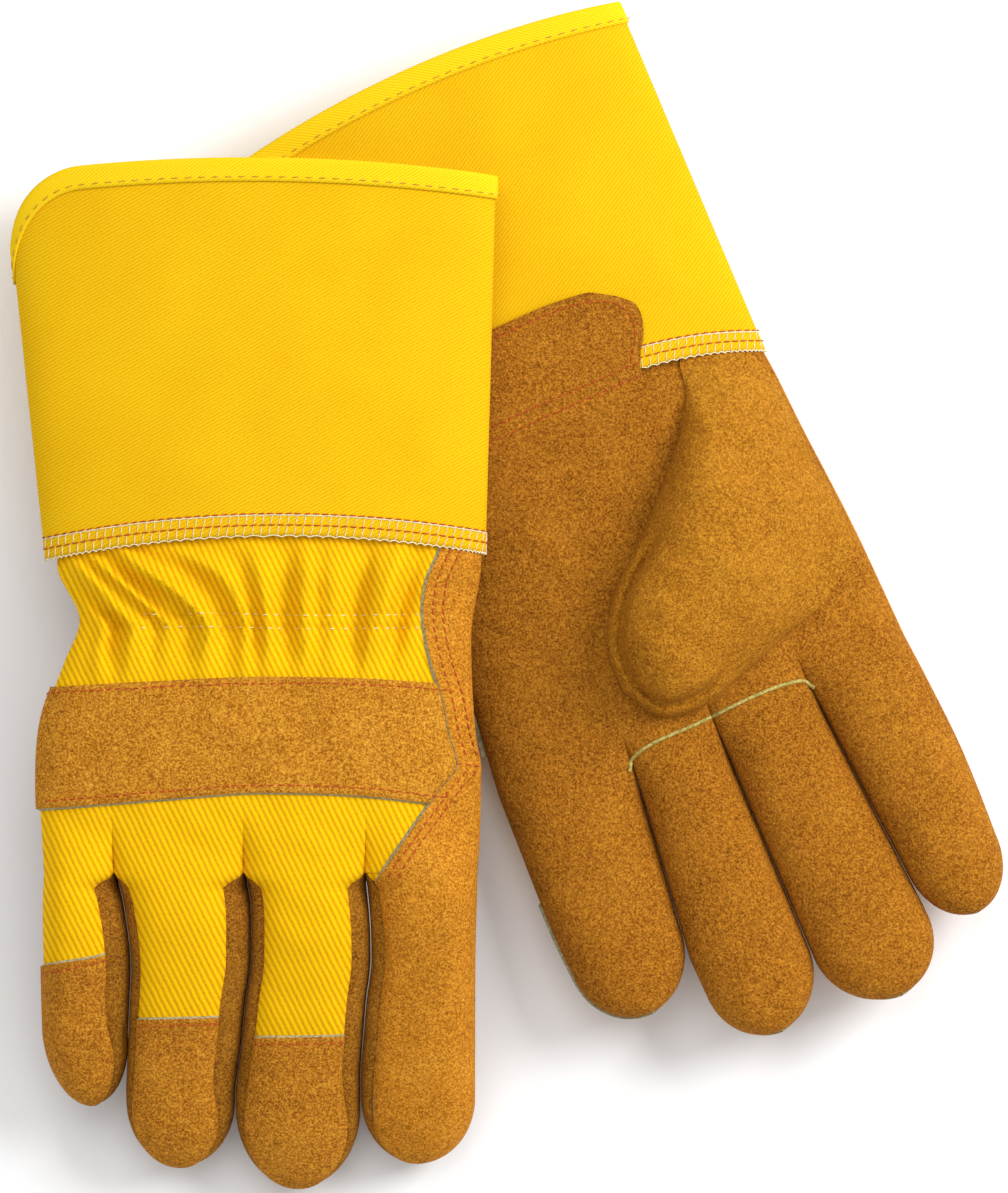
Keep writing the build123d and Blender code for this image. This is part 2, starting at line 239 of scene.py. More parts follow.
# %% Split leather
def split_leather(name, dark, middle, light):
    """Brushed split leather in three shades of one dye."""
    material, tree, shader = new_material(name)
    place = add_node(tree, "ShaderNodeTexCoord").outputs["Object"]
    # Fibres 0.7 mm across over clumps of 1.6 mm, a little coarser than life so that they show.
    nap = noise_node(tree, place, 1500, 3, 0.75)
    clumps = noise_node(tree, place, 640, 3, 0.6)
    patches = add_node(tree, "ShaderNodeTexNoise", {"Vector": place, "Scale": 60, "Detail": 2})
    flecks = ramp(tree, nap.outputs[0], (0.4, dark), (0.5, middle), (0.61, light))
    cloudy = ramp(tree, clumps.outputs[0], (0.34, dark), (0.5, middle), (0.66, light))
    slow = ramp(tree, patches.outputs[0], (0.3, dark), (0.5, middle), (0.7, light))
    colour = mix(tree, 0.3, flecks, cloudy)
    colour = mix(tree, 0.14, colour, slow)
    fibres = add_node(tree, "ShaderNodeMath", {0: nap.outputs[0], 1: clumps.outputs[0]}, operation="ADD")
    bump = add_node(
        tree, "ShaderNodeBump", {"Height": fibres.outputs[0], "Strength": 0.8, "Distance": 0.0007}
    )
    tree.links.new(colour, shader.inputs["Base Color"])
    tree.links.new(bump.outputs[0], shader.inputs["Normal"])
    shader.inputs["Roughness"].default_value = 0.93
    shader.inputs["IOR"].default_value = 1.45
    shader.inputs["Specular IOR Level"].default_value = 0.12
    shader.inputs["Sheen Weight"].default_value = 0.08
    shader.inputs["Sheen Roughness"].default_value = 0.5
    shader.inputs["Sheen Tint"].default_value = linear(light)
    return material


# One dye in six shades, one for each kind of piece. They differ partly as leather from different lots and
# partly by painted light and shade: the walls' dark leather is painted shade, the shade that falls on the
# fingers' side walls in the gaps between them, and the palm's and the thumb's are darker partly by painted
# shade.
LEATHER = {
    "strap": split_leather("split_leather_strap", "7C4408", "BE781A", "EAAC3A"),
    "index": split_leather("split_leather_index", "834E0A", "C2781A", "EAA636"),
    "tips": split_leather("split_leather_tips", "6E3C08", "B26E18", "E4A234"),
    "walls": split_leather("split_leather_walls_painted_shade", "5A3006", "945C14", "C08628"),
    "palm": split_leather("split_leather_palm", "663404", "A06214", "CE8C2A"),
    "thumb": split_leather("split_leather_thumb", "703E08", "AA6C14", "D2942C"),
}
print("leathers:", len(LEATHER))

# %% [markdown]
# ### The raw edge of leather, and thread
#
# Where leather is cut, its pale grey core shows as a fine line beside the dyed nap. Thread is spun cotton:
# a round strand with a soft highlight. Both are small, so a fine noise is all the pattern they need.

# %% Cut edges and threads
def plain_fibre(name, dark, light, grain_mm, roughness=0.9):
    """A small plain fibrous finish: a noise between two shades, with its grain in millimetres."""
    material, tree, shader = new_material(name)
    place = add_node(tree, "ShaderNodeTexCoord").outputs["Object"]
    noise = add_node(tree, "ShaderNodeTexNoise", {"Vector": place, "Scale": 1000 / grain_mm, "Detail": 3})
    bump = add_node(tree, "ShaderNodeBump", {"Height": noise.outputs[0], "Strength": 0.4, "Distance": 0.0003})
    tree.links.new(ramp(tree, noise.outputs[0], (0.35, dark), (0.65, light)), shader.inputs["Base Color"])
    tree.links.new(bump.outputs[0], shader.inputs["Normal"])
    shader.inputs["Roughness"].default_value = roughness
    shader.inputs["Specular IOR Level"].default_value = 0.3
    return material


CUT_EDGE = plain_fibre("leather_cut_edge", "7C7A5C", "B5AE86", 0.9)
WELT = plain_fibre("leather_welt_edge", "8A7A34", "C6B868", 0.9)
THREAD = {
    "red": plain_fibre("red_polyester_thread", "9A2F08", "C24E14", 0.6, 0.6),
    "white": plain_fibre("white_cotton_thread", "C9BC92", "EFE6C6", 0.6, 0.7),
    "tan": plain_fibre("tan_polyester_thread", "A8741A", "D09A2C", 0.6, 0.6),
}
LINING = plain_fibre("brushed_cotton_lining", "D8D0B4", "F2ECD6", 1.2)
ELASTIC = plain_fibre("white_elastic_tape", "D6D0BE", "F0ECE0", 0.8, 0.8)

# %% [markdown]
# ### Cotton drill, canvas and binding tape
#
# A twill rib is one band of a wave texture laid along the cut of the cloth. The wave is given a slight
# distortion, because hand-fed cloth is never quite even, and fine noise breaks the grooves' painted shade
# into specks. The band's colours are painted shade in the grooves and painted light on the crests.

# %% Woven cloths
def twill(name, groove_painted_shade, body, crest_painted_light, pitch_mm, angle, relief, speckle, patchy=0.0, shade="C9971C"):
    """A woven cloth with diagonal ribs: colours from the groove's painted shade to the crest's painted light,
    pitch, and the turn of the ribs.
    """
    material, tree, shader = new_material(name)
    flat = add_node(tree, "ShaderNodeTexCoord").outputs["UV"]
    turned = add_node(tree, "ShaderNodeMapping", {"Vector": flat, "Rotation": (0, 0, -math.radians(angle))})
    wave = add_node(
        tree,
        "ShaderNodeTexWave",
        {"Vector": turned.outputs[0], "Scale": 314 / pitch_mm, "Distortion": 0.9, "Detail": 2,
         "Detail Scale": 1.5},
        bands_direction="X",
    )
    specks = noise_node(tree, flat, 1300, 3, 0.7)
    patches = noise_node(tree, flat, 26, 3, 0.6)
    broken = add_node(
        tree, "ShaderNodeMix", {0: speckle, 2: wave.outputs[0], 3: specks.outputs[0]}, data_type="FLOAT"
    )
    # The ramp paints shade into the grooves and light onto the crests of the ribs.
    colour = ramp(tree, broken.outputs[0], (0.12, groove_painted_shade), (0.42, body), (0.8, crest_painted_light))
    shaded = ramp(tree, patches.outputs[0], (0.38, "FFFFFF"), (0.66, shade))
    colour = mix(tree, patchy, colour, shaded, blend="MULTIPLY")
    bump = add_node(
        tree, "ShaderNodeBump", {"Height": broken.outputs[0], "Strength": 0.6, "Distance": relief / 1000}
    )
    tree.links.new(colour, shader.inputs["Base Color"])
    tree.links.new(bump.outputs[0], shader.inputs["Normal"])
    shader.inputs["Roughness"].default_value = 0.95
    shader.inputs["Specular IOR Level"].default_value = 0.08
    return material


# Each cloth's first colour is the grooves' painted shade and its last the crests' painted light.
DRILL = twill("yellow_cotton_drill", "C27A04", "DFA906", "F2C408", 1.75, 26, 0.22, 0.5)
CANVAS = twill("rubberised_canvas", "C98F0E", "D9AA0C", "E6BC0E", 0.95, 119, 0.08, 0.6, 0.2, "F0CC66")
TAPE = twill("cotton_binding_tape", "D2A40E", "E6BE12", "F2CE1C", 0.7, 60, 0.05, 0.5)
print("materials:", len(bpy.data.materials))

# %% [markdown]
# ## A panel of cloth or leather
#
# Sewn goods are flat pieces with a thickness and a cut edge, so every panel is made the same way: a grid of
# points for its outer face, the same grid moved inwards by the thickness, and a strip of cut edge all
# round. Solidify would do this on a plain sheet, but at a fingertip it turns the inner face inside out.
# Here the inner face moves towards a line inside the glove instead. A lip lets the cut edge slope so that
# it shows from above.

# %% Panels
LIPS = {"first_row": 0.0, "last_row": 0.0, "first_column": 0.0, "last_column": 0.0}


def unit(vectors):
    """Vectors at length 1."""
    return vectors / np.maximum(np.linalg.norm(vectors, axis=-1, keepdims=True), 1e-9)


def grid_normals(grid, wrap=False):
    """The surface's direction at each point of a grid, pointing out of a palm-down glove's back."""
    if wrap:
        across = np.roll(grid, -1, 1) - np.roll(grid, 1, 1)
    else:
        across = np.gradient(grid, axis=1)
    return unit(np.cross(across, np.gradient(grid, axis=0)))


def panel(name, side, grid, inside, thick, face, edge=None, lips=None, wrap=False, normals=None):
    """A closed sheet from its outer face and a grid of points inside the glove, towards which it thickens."""
    lips = {**LIPS, **(lips or {})}
    rows, columns = grid.shape[:2]
    inner = grid + unit(inside - grid) * thick
    inner[0] += unit(grid[0] - grid[1]) * lips["first_row"]
    inner[-1] += unit(grid[-1] - grid[-2]) * lips["last_row"]
    if not wrap:
        inner[:, 0] += unit(grid[:, 0] - grid[:, 1]) * lips["first_column"]
        inner[:, -1] += unit(grid[:, -1] - grid[:, -2]) * lips["last_column"]
    points = np.concatenate([lay(side, grid).reshape(-1, 3), lay(side, inner).reshape(-1, 3)])
    number = np.arange(rows * columns).reshape(rows, columns)
    if wrap:
        number = np.concatenate([number, number[:, :1]], 1)
    corners = (number[:-1, :-1], number[:-1, 1:], number[1:, 1:], number[1:, :-1])
    outer_faces = np.stack(corners, -1).reshape(-1, 4)
    inner_faces = outer_faces[:, ::-1] + rows * columns
    rims = [number[0], number[-1][::-1]]
    if not wrap:
        rims += [number[:, 0][::-1], number[:, -1]]
    rim = np.concatenate(
        [np.stack([r[1:], r[:-1], r[:-1] + rows * columns, r[1:] + rows * columns], -1) for r in rims]
    )
    faces = np.concatenate([outer_faces, inner_faces, rim])
    a, b, c = points[outer_faces[:, 0]], points[outer_faces[:, 1]], points[outer_faces[:, 3]]
    outwards = points[outer_faces[:, 0]] - points[outer_faces[:, 0] + rows * columns]
    if (np.cross(b - a, c - a) * outwards).sum() < 0:
        faces = faces[:, ::-1]
    mesh = bpy.data.meshes.new(name)
    mesh.from_pydata(points.tolist(), [], faces.tolist())
    flat = np.concatenate([grid[..., :2].reshape(-1, 2), inner[..., :2].reshape(-1, 2)]) / 1000
    layer = mesh.uv_layers.new(name="cut")
    layer.data.foreach_set("uv", flat[faces.reshape(-1)].astype(np.float32).ravel())
    mesh.materials.append(face)
    mesh.materials.append(edge or face)
    rim_start = len(outer_faces) + len(inner_faces)
    is_rim = np.arange(len(faces)) >= rim_start
    mesh.polygons.foreach_set("material_index", is_rim.astype(np.int32))
    mesh.polygons.foreach_set("use_smooth", ~is_rim)
    if normals is not None:
        turn = GLOVE[side][1]
        x, y, z = normals[..., 0], normals[..., 1], normals[..., 2] * MIRROR[side]
        laid = np.stack(
            [x * math.cos(turn) - y * math.sin(turn), x * math.sin(turn) + y * math.cos(turn), z], -1
        )
        laid = laid.reshape(-1, 3)
        outwards = points[: rows * columns] - points[rows * columns :]
        laid *= np.where((laid * outwards).sum(1) < 0, -1, 1)[:, None]
        by_corner = np.concatenate([laid, -laid])[faces.reshape(-1)].reshape(-1, 4, 3)
        edge_a, edge_b = points[faces[:, 1]] - points[faces[:, 0]], points[faces[:, 3]] - points[faces[:, 0]]
        by_corner[is_rim] = unit(np.cross(edge_a, edge_b))[is_rim][:, None]
        mesh.normals_split_custom_set(by_corner.reshape(-1, 3).tolist())
    piece = bpy.data.objects.new(name, mesh)
    bpy.context.scene.collection.objects.link(piece)
    return piece


# %% Closing a wrapped grid
def declare_sheet(grid, wrap=False):
    """Repeats a wrapped grid's first column at its end, and does nothing more with it."""
    if wrap:
        grid = np.concatenate([grid, grid[:, :1]], axis=1)


# %% [markdown]
# ## How a piece moves
#
# The pieces of the hand ride on the hand. A finger's pieces are sewn to it at one end, and the thumb joins
# the palm along a slanting line; their pieces keep the place where they are cut.

# %% Fastening a piece to the frame
KNUCKLE_Y = -110.0
FINGER_START_Y = -98.0
THUMB_ROOT = np.array([(39.0, -3.0), (64.5, -74.0)])


def fasten(piece, side, part, finish, *nodes):
    """Parents a hand piece to its glove's hand, leaves any other piece where it lies, and hides the plain
    solids it stands for; the finish is not used.
    """
    if part == "hand":
        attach(piece, f"{side}_hand")
    elif part == "thumb":
        along = THUMB_ROOT[1] - THUMB_ROOT[0]
        inwards = np.array([along[1], -along[0]]) / np.hypot(*along)
        middle = THUMB_ROOT.mean(0)
        start, end = middle - 4 * inwards, middle + 8 * inwards
        lay(side, (*start, -14.0))
        lay(side, (*end, -14.0))
        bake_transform(piece)
    else:
        start = lay(side, (0, FINGER_START_Y, 0))
        end = lay(side, (0, 2 * KNUCKLE_Y - FINGER_START_Y, 0))
        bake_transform(piece)
    if nodes:
        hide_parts(*(f"{side}_{node}" for node in nodes))


# %% [markdown]
# ## The shape of the hand
#
# Empty gloves lie nearly flat. Seen from above, the hand is a fair outline that narrows at the wrist, where
# an elastic gathers the back. Cut across, it is a lens; towards the knuckles the lens turns into four
# rounded humps, one for each finger. A height that depends only on x and y says all of this, and every
# panel, seam and stitch on the hand reads its height from the same function, so that they always lie on
# each other.

# %% The hand's outline and height
HAND_EDGES = {  # (y, x) along the little finger's side and along the thumb's side
    "right": (
        ((6, -61), (-6, -62.2), (-22.5, -55.5), (-35, -60), (-52, -66), (-73, -67.5), (-85, -66.9),
         (-98, -66.2)),
        ((6, 63.6), (-4, 64.6), (-28, 61.5), (-58, 63), (-67, 64.5), (-91, 64), (-98, 63.5)),
    ),
    "left": (
        ((6, -61), (-6, -61.5), (-22.5, -56.5), (-40, -57.6), (-61, -58.6), (-92, -62.9), (-98, -63.3)),
        ((6, 63.6), (-1, 65), (-30, 66.5), (-60, 68), (-98, 68.5)),
    ),
}
BETWEEN = {  # (y, x) along the three gaps between the fingers
    "right": (
        ((-98, -45.0), (-108, -42.3), (-127, -40.3), (-137, -40.8), (-163, -42.3)),
        ((-98, -6.2), (-106, -4.5), (-124, -4.2), (-137, -6), (-151, -7.5), (-164, -9.3)),
        ((-98, 30.0), (-112, 31.5), (-124, 31.8), (-137, 30.3), (-151, 29.1), (-158, 28.5)),
    ),
    "left": (
        ((-98, -22.0), (-130, -26.5), (-160, -30.9)),
        ((-98, 5.5), (-175, 3.2)),
        ((-98, 36.2), (-174, 40)),
    ),
}
FINGER_OUTER = {
    "right": (((-98, -66.2), (-110, -66.6), (-150, -66.4)), ((-98, 63.5), (-115, 63.2), (-160, 63.0))),
    "left": (((-98, -63.3), (-141, -65.2), (-160, -64.2)), ((-98, 68.5), (-133, 70.2), (-172, 68.2))),
}
VALLEY_Z = 5.5  # how high the seam between two fingers lies at the knuckles
FINGER_TOP_Z = {"little": 11.4, "ring": 12.2, "middle": 12.3, "index": 12.2}


def hand_edges(side, y):
    """The hand's two edges at each y."""
    low, high = HAND_EDGES[side]
    return curve(y, *low), curve(y, *high)


def finger_shares(side):
    """Where the finger gaps meet the hand, as shares of its width."""
    low, high = hand_edges(side, np.array(FINGER_START_Y))
    return np.array([0] + [(pairs[0][1] - low) / (high - low) for pairs in BETWEEN[side]] + [1])


def gathers(x, y):
    """The folds that the wrist elastic draws into the back."""
    lean = 1.1 * ease(-x, -12, 40) * ease(y, WAIST_Y - 8, WAIST_Y + 4) - 0.3 * ease(x, 15, 50)
    shifted = x + lean * (y - WAIST_Y)
    folds = 2.3 * np.sin(2 * math.pi * shifted / 10.3 + 0.9 * np.sin(x / 9))
    folds += 0.7 * np.sin(2 * math.pi * shifted / 6.1 + 1.1 + 0.6 * np.sin(x / 5))
    folds += 1.6 * np.sin(2 * math.pi * shifted / 17.5 + 2.0)
    reach = np.where(y > WAIST_Y, ease(y, 7, -14), np.exp(-(((WAIST_Y - y) / 12.5) ** 2)))
    edge = hand_edges("right", y)[0]
    inside = ease(x, 52, 44) * ease(x, edge + 1, edge + 13)
    rows = np.exp(-(((y + 20.8) / 1.0) ** 2)) + np.exp(-(((y + 24.8) / 1.0) ** 2))
    return (folds * reach + 0.4 * reach - 0.6 * rows) * inside


def hump_height(chord, top, t):
    """A rounded hump that climbs steeply from its two sides, where t is -1 and 1, to its top."""
    return chord + (top - chord) * np.maximum(1 - np.abs(t) ** 2.4, 0) ** 0.55


def hand_height(side, face, x, y):
    """How far the hand's outer surface stands from its middle plane, on its "back" or its "palm"."""
    x, y = np.broadcast_arrays(np.asarray(x, float), np.asarray(y, float))
    low, high = hand_edges(side, y)
    share = np.clip((x - low) / (high - low), 0, 1)
    flat = np.abs(2 * share - 1)
    if face == "back":
        crown = curve(
            y, (6, 10.0), (-2, 10.4), (-8, 11.4), (WAIST_Y, 10.6), (-38, 12.4), (-68, 13.0), (-98, 12.6)
        )
    else:
        crown = curve(y, (6, 10.0), (-2, 10.4), (WAIST_Y, 11.2), (-42, 12.6), (-68, 13.0), (-98, 12.6))
    lens = crown * np.maximum(1 - flat**2.3, 0) ** 0.5
    shares = finger_shares(side)
    k = np.clip(np.searchsorted(shares, share, side="right") - 1, 0, 3)
    t = 2 * (share - shares[k]) / (shares[k + 1] - shares[k]) - 1
    valley = VALLEY_Z if face == "back" else VALLEY_Z + 2
    ends = np.array([0, valley, valley, valley, 0])
    chord = ends[k] + (ends[k + 1] - ends[k]) * (t + 1) / 2
    top = np.array([FINGER_TOP_Z[finger] for finger in FINGERS])[k]
    hump = hump_height(chord, top, t)
    fade = ease(y, -72, FINGER_START_Y) ** 2.2 if face == "back" else ease(y, -89, FINGER_START_Y)
    height = lens * (1 - fade) + hump * fade
    if face == "back":
        height = height + gathers(x, y)
    uneven = 0.45 * ripple(x, y, 3 if face == "back" else 4) * np.minimum(1, height / 8)
    return np.maximum(height + uneven * ease(y, 0, -14) * ease(y, -98, -90), 0)


def hand_surface(side, face, x, y, proud=0.0):
    """Points on the hand's outer surface, or standing a little proud of it."""
    up = 1 if face == "back" else -1
    x, y = np.broadcast_arrays(np.asarray(x, float), np.asarray(y, float))
    return np.stack([x, y, up * (hand_height(side, face, x, y) + proud)], -1)


def hand_inside(side, grid):
    """Points on the hand's middle line, well inside its edges, towards which its panels get thicker."""
    low, high = hand_edges(side, grid[..., 1])
    middle, half = (low + high) / 2, (high - low) / 2 - 9
    x = middle + np.clip(grid[..., 0] - middle, -half, half)
    return np.stack([x, grid[..., 1], np.zeros_like(x)], -1)


FINE = 24  # columns across one finger


def hand_columns(side):
    """Shares of the hand's width, close together at the edge of each finger."""
    shares = finger_shares(side)
    spread = (1 + np.sin(np.linspace(-math.pi / 2, math.pi / 2, FINE + 1))) / 2
    columns = [shares[k] + (shares[k + 1] - shares[k]) * spread[:-1] for k in range(4)]
    return np.concatenate(columns + [[1.0]])


hand_y = np.concatenate([np.linspace(14, -44, 59), np.linspace(-45.5, FINGER_START_Y, 40)])


def hand_grid(side, face):
    """The whole outer surface of one face of the hand."""
    low, high = hand_edges(side, hand_y)
    x = low[:, None] + (high - low)[:, None] * hand_columns(side)[None]
    return hand_surface(side, face, x, hand_y[:, None])


# %% [markdown]
# ## The shape of a finger
#
# A finger is a soft tube with a domed end. Its palm side and both its side walls are one leather front; its
# back is a narrower strip of cotton with a leather cap at the tip. So a section runs up one side wall to
# the seam, over the back to the other seam, down the other wall and round the palm side. At the knuckle
# line the section is exactly the hand's own hump, and over the next half centimetre the side walls come
# into view.

# %% The finger's sections
TIPS = {  # tip y, length of the dome, how far the dome's middle is shifted sideways
    "right": {
        "little": (-168.5, 22, 1.5),
        "ring": (-187.5, 20, 0),
        "middle": (-194.0, 24, 0),
        "index": (-186.6, 20, 0),
    },
    "left": {
        "little": (-169.7, 20, -1.0),
        "ring": (-190.7, 19, -1.0),
        "middle": (-195.7, 19, 1.0),
        "index": (-182.8, 19, 0),
    },
}
CAP_Y = {"little": -124.5, "ring": -142.0, "middle": -147.6}
CAP_SLANT = {"little": 2.2, "ring": 0.4, "middle": 0.3}
INSET = {"little": (0, 7.2), "ring": (3.0, 7.2), "middle": (4.0, 5.6), "index": (4.4, 0)}
GAP = 0.25  # between neighbouring fingers
WALL, BACK, FRONT = 9, FINE, FINE  # columns up a side wall, over the back and round the palm side


def finger_rows(side, finger):
    """Places along a finger: each row's y, and how far round the dome it is, from 0 to a right angle."""
    tip_y, dome, _ = TIPS[side][finger]
    straight = np.linspace(FINGER_START_Y, tip_y + dome, int((FINGER_START_Y - tip_y - dome) / 1.5))
    angles = np.linspace(0, math.radians(88), 17)[1:]
    y = np.concatenate([straight, tip_y + dome - dome * np.sin(angles)])
    return y, np.concatenate([np.zeros(len(straight)), angles])


def droop(side, y):
    """How far the leaning finger's middle lies below the hand's middle plane."""
    past = KNUCKLE_Y - y
    bend = np.where(past > 12, past, np.clip(past + 12, 0, None) ** 2 / 48)
    return -math.tan(LEAN[side]) * bend


def finger_frame(side, finger):
    """For each row of a finger: y, dome angle, middle x, half width, droop and the two insets of its back."""
    y, angle = finger_rows(side, finger)
    k = FINGERS.index(finger)
    sides = [FINGER_OUTER[side][0], *BETWEEN[side], FINGER_OUTER[side][1]]
    dome_y = TIPS[side][finger][0] + TIPS[side][finger][1]
    at = np.maximum(y, dome_y)
    gap = GAP / 2 * ease(y, FINGER_START_Y, FINGER_START_Y - 5)
    low = curve(at, *sides[k]) + gap * (k > 0)
    high = curve(at, *sides[k + 1]) - gap * (k < 3)
    round_end = np.cos(angle)
    middle = (low + high) / 2 + TIPS[side][finger][2] * np.sin(angle)
    half = (high - low) / 2 * round_end
    grown = ease(y, FINGER_START_Y, FINGER_START_Y - 5) * (1 - 0.45 * ease(y, dome_y + 12, dome_y - 14))
    insets = [inset * grown * np.maximum(round_end, 0.05) for inset in INSET[finger]]
    return y, angle, middle, half, droop(side, y), insets


def seam_heights(finger, y, angle):
    """How high the back's two seams lie above the finger's middle."""
    swell = np.cos(angle) ** 0.55
    inner = curve(y, (FINGER_START_Y, VALLEY_Z), (FINGER_START_Y - 16, 7.4), (-200, 7.6)) * swell
    return inner * (finger != "little"), inner * (finger != "index")


def finger_back(side, finger):
    """The grid of a finger's whole back, from the hand to the tip, between its two seams."""
    y, angle, middle, half, mid_z, insets = finger_frame(side, finger)
    seams = seam_heights(finger, y, angle)
    across = np.sin(np.linspace(-math.pi / 2, math.pi / 2, BACK + 1))
    low, high = middle - half + insets[0], middle + half - insets[1]
    x = low[:, None] + (high - low)[:, None] * (1 + across) / 2
    chord = seams[0][:, None] + (seams[1] - seams[0])[:, None] * (1 + across) / 2
    top = (FINGER_TOP_Z[finger] * np.cos(angle) ** 0.55)[:, None]
    z = hump_height(chord, top, across)
    uneven = 0.35 * ripple(x, y[:, None], 7 + FINGERS.index(finger)) * ease(y, FINGER_START_Y, -108)[:, None]
    z = z + uneven * (1 - across**4) * np.cos(angle)[:, None]
    return np.stack([x, np.broadcast_to(y[:, None], x.shape), z + mid_z[:, None]], -1)


def finger_front(side, finger):
    """The grid of a finger's leather: up one side wall, round the palm side and up the other wall."""
    y, angle, middle, half, mid_z, insets = finger_frame(side, finger)
    seams = seam_heights(finger, y, angle)
    swell = (np.cos(angle) ** 0.55)[:, None]
    rounded = ease(y, FINGER_START_Y, FINGER_START_Y - 16)
    ends = [(VALLEY_Z + 2) * (finger != "little"), (VALLEY_Z + 2) * (finger != "index")]
    foot = [-end * (1 - rounded) for end in ends]
    climb = np.linspace(0, math.pi / 2, WALL + 1)[None]
    walls = []
    for side_sign, inset, seam, low_z in zip((-1, 1), insets, seams, foot):
        x = (middle + side_sign * half)[:, None] - side_sign * inset[:, None] * (1 - np.cos(climb) ** 0.8)
        z = low_z[:, None] + (seam - low_z)[:, None] * np.sin(climb) ** 0.8
        walls.append(np.stack([x, np.broadcast_to(y[:, None], x.shape), z + mid_z[:, None]], -1))
    turn = np.linspace(math.pi, 0, FRONT + 1)
    across = np.cos(turn)
    x = middle[:, None] + half[:, None] * across
    round_z = np.maximum(1 - np.abs(across) ** 2.2, 0) ** (1 / 2.2) * FINGER_TOP_Z[finger]
    chord = ends[0] + (ends[1] - ends[0]) * (1 + across) / 2
    hump = hump_height(chord, FINGER_TOP_Z[finger], across)
    z = -(hump[None] * (1 - rounded)[:, None] + round_z[None] * rounded[:, None]) * swell
    uneven = (
        0.4 * ripple(x, y[:, None], 17 + FINGERS.index(finger)) * rounded[:, None] * np.cos(angle)[:, None]
    )
    z = z + uneven * np.abs(np.sin(turn))
    bottom = np.stack([x, np.broadcast_to(y[:, None], x.shape), z + mid_z[:, None]], -1)
    left = walls[0][:, ::-1] if finger != "little" else walls[0][:, :0]
    right = walls[1] if finger != "index" else walls[1][:, :0]
    return np.concatenate([left[:, :-1], bottom, right[:, 1:]], 1)


def finger_inside(side, finger, grid):
    """Points on a finger's middle line, towards which its panels get thicker."""
    _, _, middle, half, _, _ = finger_frame(side, finger)
    dome_y = TIPS[side][finger][0] + TIPS[side][finger][1]
    centre_y = np.maximum(grid[..., 1], dome_y - 4)
    reach = np.maximum(half - 9, 0)[:, None]
    x = middle[:, None] + np.clip(grid[..., 0] - middle[:, None], -reach, reach)
    z = droop(side, centre_y)
    return np.stack([x, centre_y, z], -1)


def shared_normals(hand, finger_grid, first_column, grid_start):
    """A finger grid's normals, worked out together with the hand's last rows, so that no join shows."""
    joined = finger_grid[:, grid_start : grid_start + FINE + 1]
    above = hand[-2:-1, first_column : first_column + FINE + 1]
    normals = grid_normals(finger_grid)
    normals[:, grid_start : grid_start + FINE + 1] = grid_normals(np.concatenate([above, joined]))[1:]
    return normals


def hand_normals(side, face, hand):
    """The hand grid's normals, worked out together with the fingers' first rows."""
    below = np.zeros_like(hand[:1])
    for k, finger in enumerate(FINGERS):
        grid = finger_back(side, finger) if face == "back" else finger_front(side, finger)
        start = 0 if face == "back" or finger == "little" else WALL
        below[0, k * FINE : k * FINE + FINE + 1] = grid[1, start : start + FINE + 1]
    return grid_normals(np.concatenate([hand, below]))[:-1]


print("finger rows:", {finger: len(finger_rows("right", finger)[0]) for finger in FINGERS})

# %% [markdown]
# ## Where the leather meets the drill on the back
#
# The palm leather comes round the index finger's side, and its raw edge wanders down the back of the hand:
# past the end of the knuckle strap, then on a slant to the root of the index finger.

# %% The leather's edge on the back
def leather_edge(y):
    """The x of the raw leather edge on the back of the hand."""
    return curve(
        y, (6, 54), (-2, 52.5), (-10, 49), (-20, 47.6), (-35, 50), (-45, 53), (-56, 55), (-66, 57.4),
        (-74, 52.0), (-88, 42.2), (-100.5, 34.2), (-106, 32.6),
    )  # fmt: skip


def strap_edges(x):
    """The y of the knuckle strap's upper and lower edges."""
    upper = curve(x, (-68, -42.8), (-30, -40.6), (0, -39.4), (30, -39.9), (58, -41.8))
    lower = curve(x, (-68, -79.2), (-30, -76.0), (0, -74.0), (30, -75.0), (58, -78.4))
    return upper, lower


# %% [markdown]
# ## Cutting the hand's panels
#
# The back is drill from the little finger's side to a seam allowance under the leather's edge. The palm is
# one wide piece of leather, lined with brushed cotton. The strap and the leather beside the index finger
# are separate layers that lie on the drill, each as proud as leather is thick.

# %% Back, palm and lining of the hand
LEATHER_MM, DRILL_MM, LINING_MM = 1.3, 0.9, 1.0

for side in SIDES:
    back = hand_grid(side, "back")
    under = ease(back[..., 0], leather_edge(back[..., 1]) + 4, leather_edge(back[..., 1]) + 12)
    middle = hand_inside(side, back)
    back = back + unit(middle - back) * 1.5 * under[..., None]
    normals = hand_normals(side, "back", back)
    piece = panel(f"{side}_back_drill", side, back, middle, DRILL_MM, DRILL, normals=normals)
    fasten(piece, side, "hand", "cotton_drill", "back_panel")
    declare_sheet(back)
    palm = hand_grid(side, "palm")
    middle = hand_inside(side, palm)
    normals = hand_normals(side, "palm", palm)
    piece = panel(f"{side}_palm_leather", side, palm, middle, LEATHER_MM, LEATHER["palm"], normals=normals)
    fasten(piece, side, "hand", "split_leather", "palm_panel", "thumb_welt")
    lined = palm + unit(middle - palm) * (LEATHER_MM + 0.15)
    piece = panel(f"{side}_palm_lining", side, lined, middle, LINING_MM, LINING)
    fasten(piece, side, "hand", "cotton_lining", "hand_lining")
    declare_sheet(lined)
    elastic_rows = (hand_y < WAIST_Y + 4.5) & (hand_y > WAIST_Y - 4.5)
    tape = hand_grid(side, "back")[elastic_rows][:, 8:-14]
    middle = hand_inside(side, tape)
    tape = tape + unit(middle - tape) * (DRILL_MM + 0.2)
    piece = panel(f"{side}_wrist_elastic_tape", side, tape, middle, 0.8, ELASTIC)
    fasten(piece, side, "hand", "elastic_tape", "wrist_elastic")
print("hand grid:", back.shape)

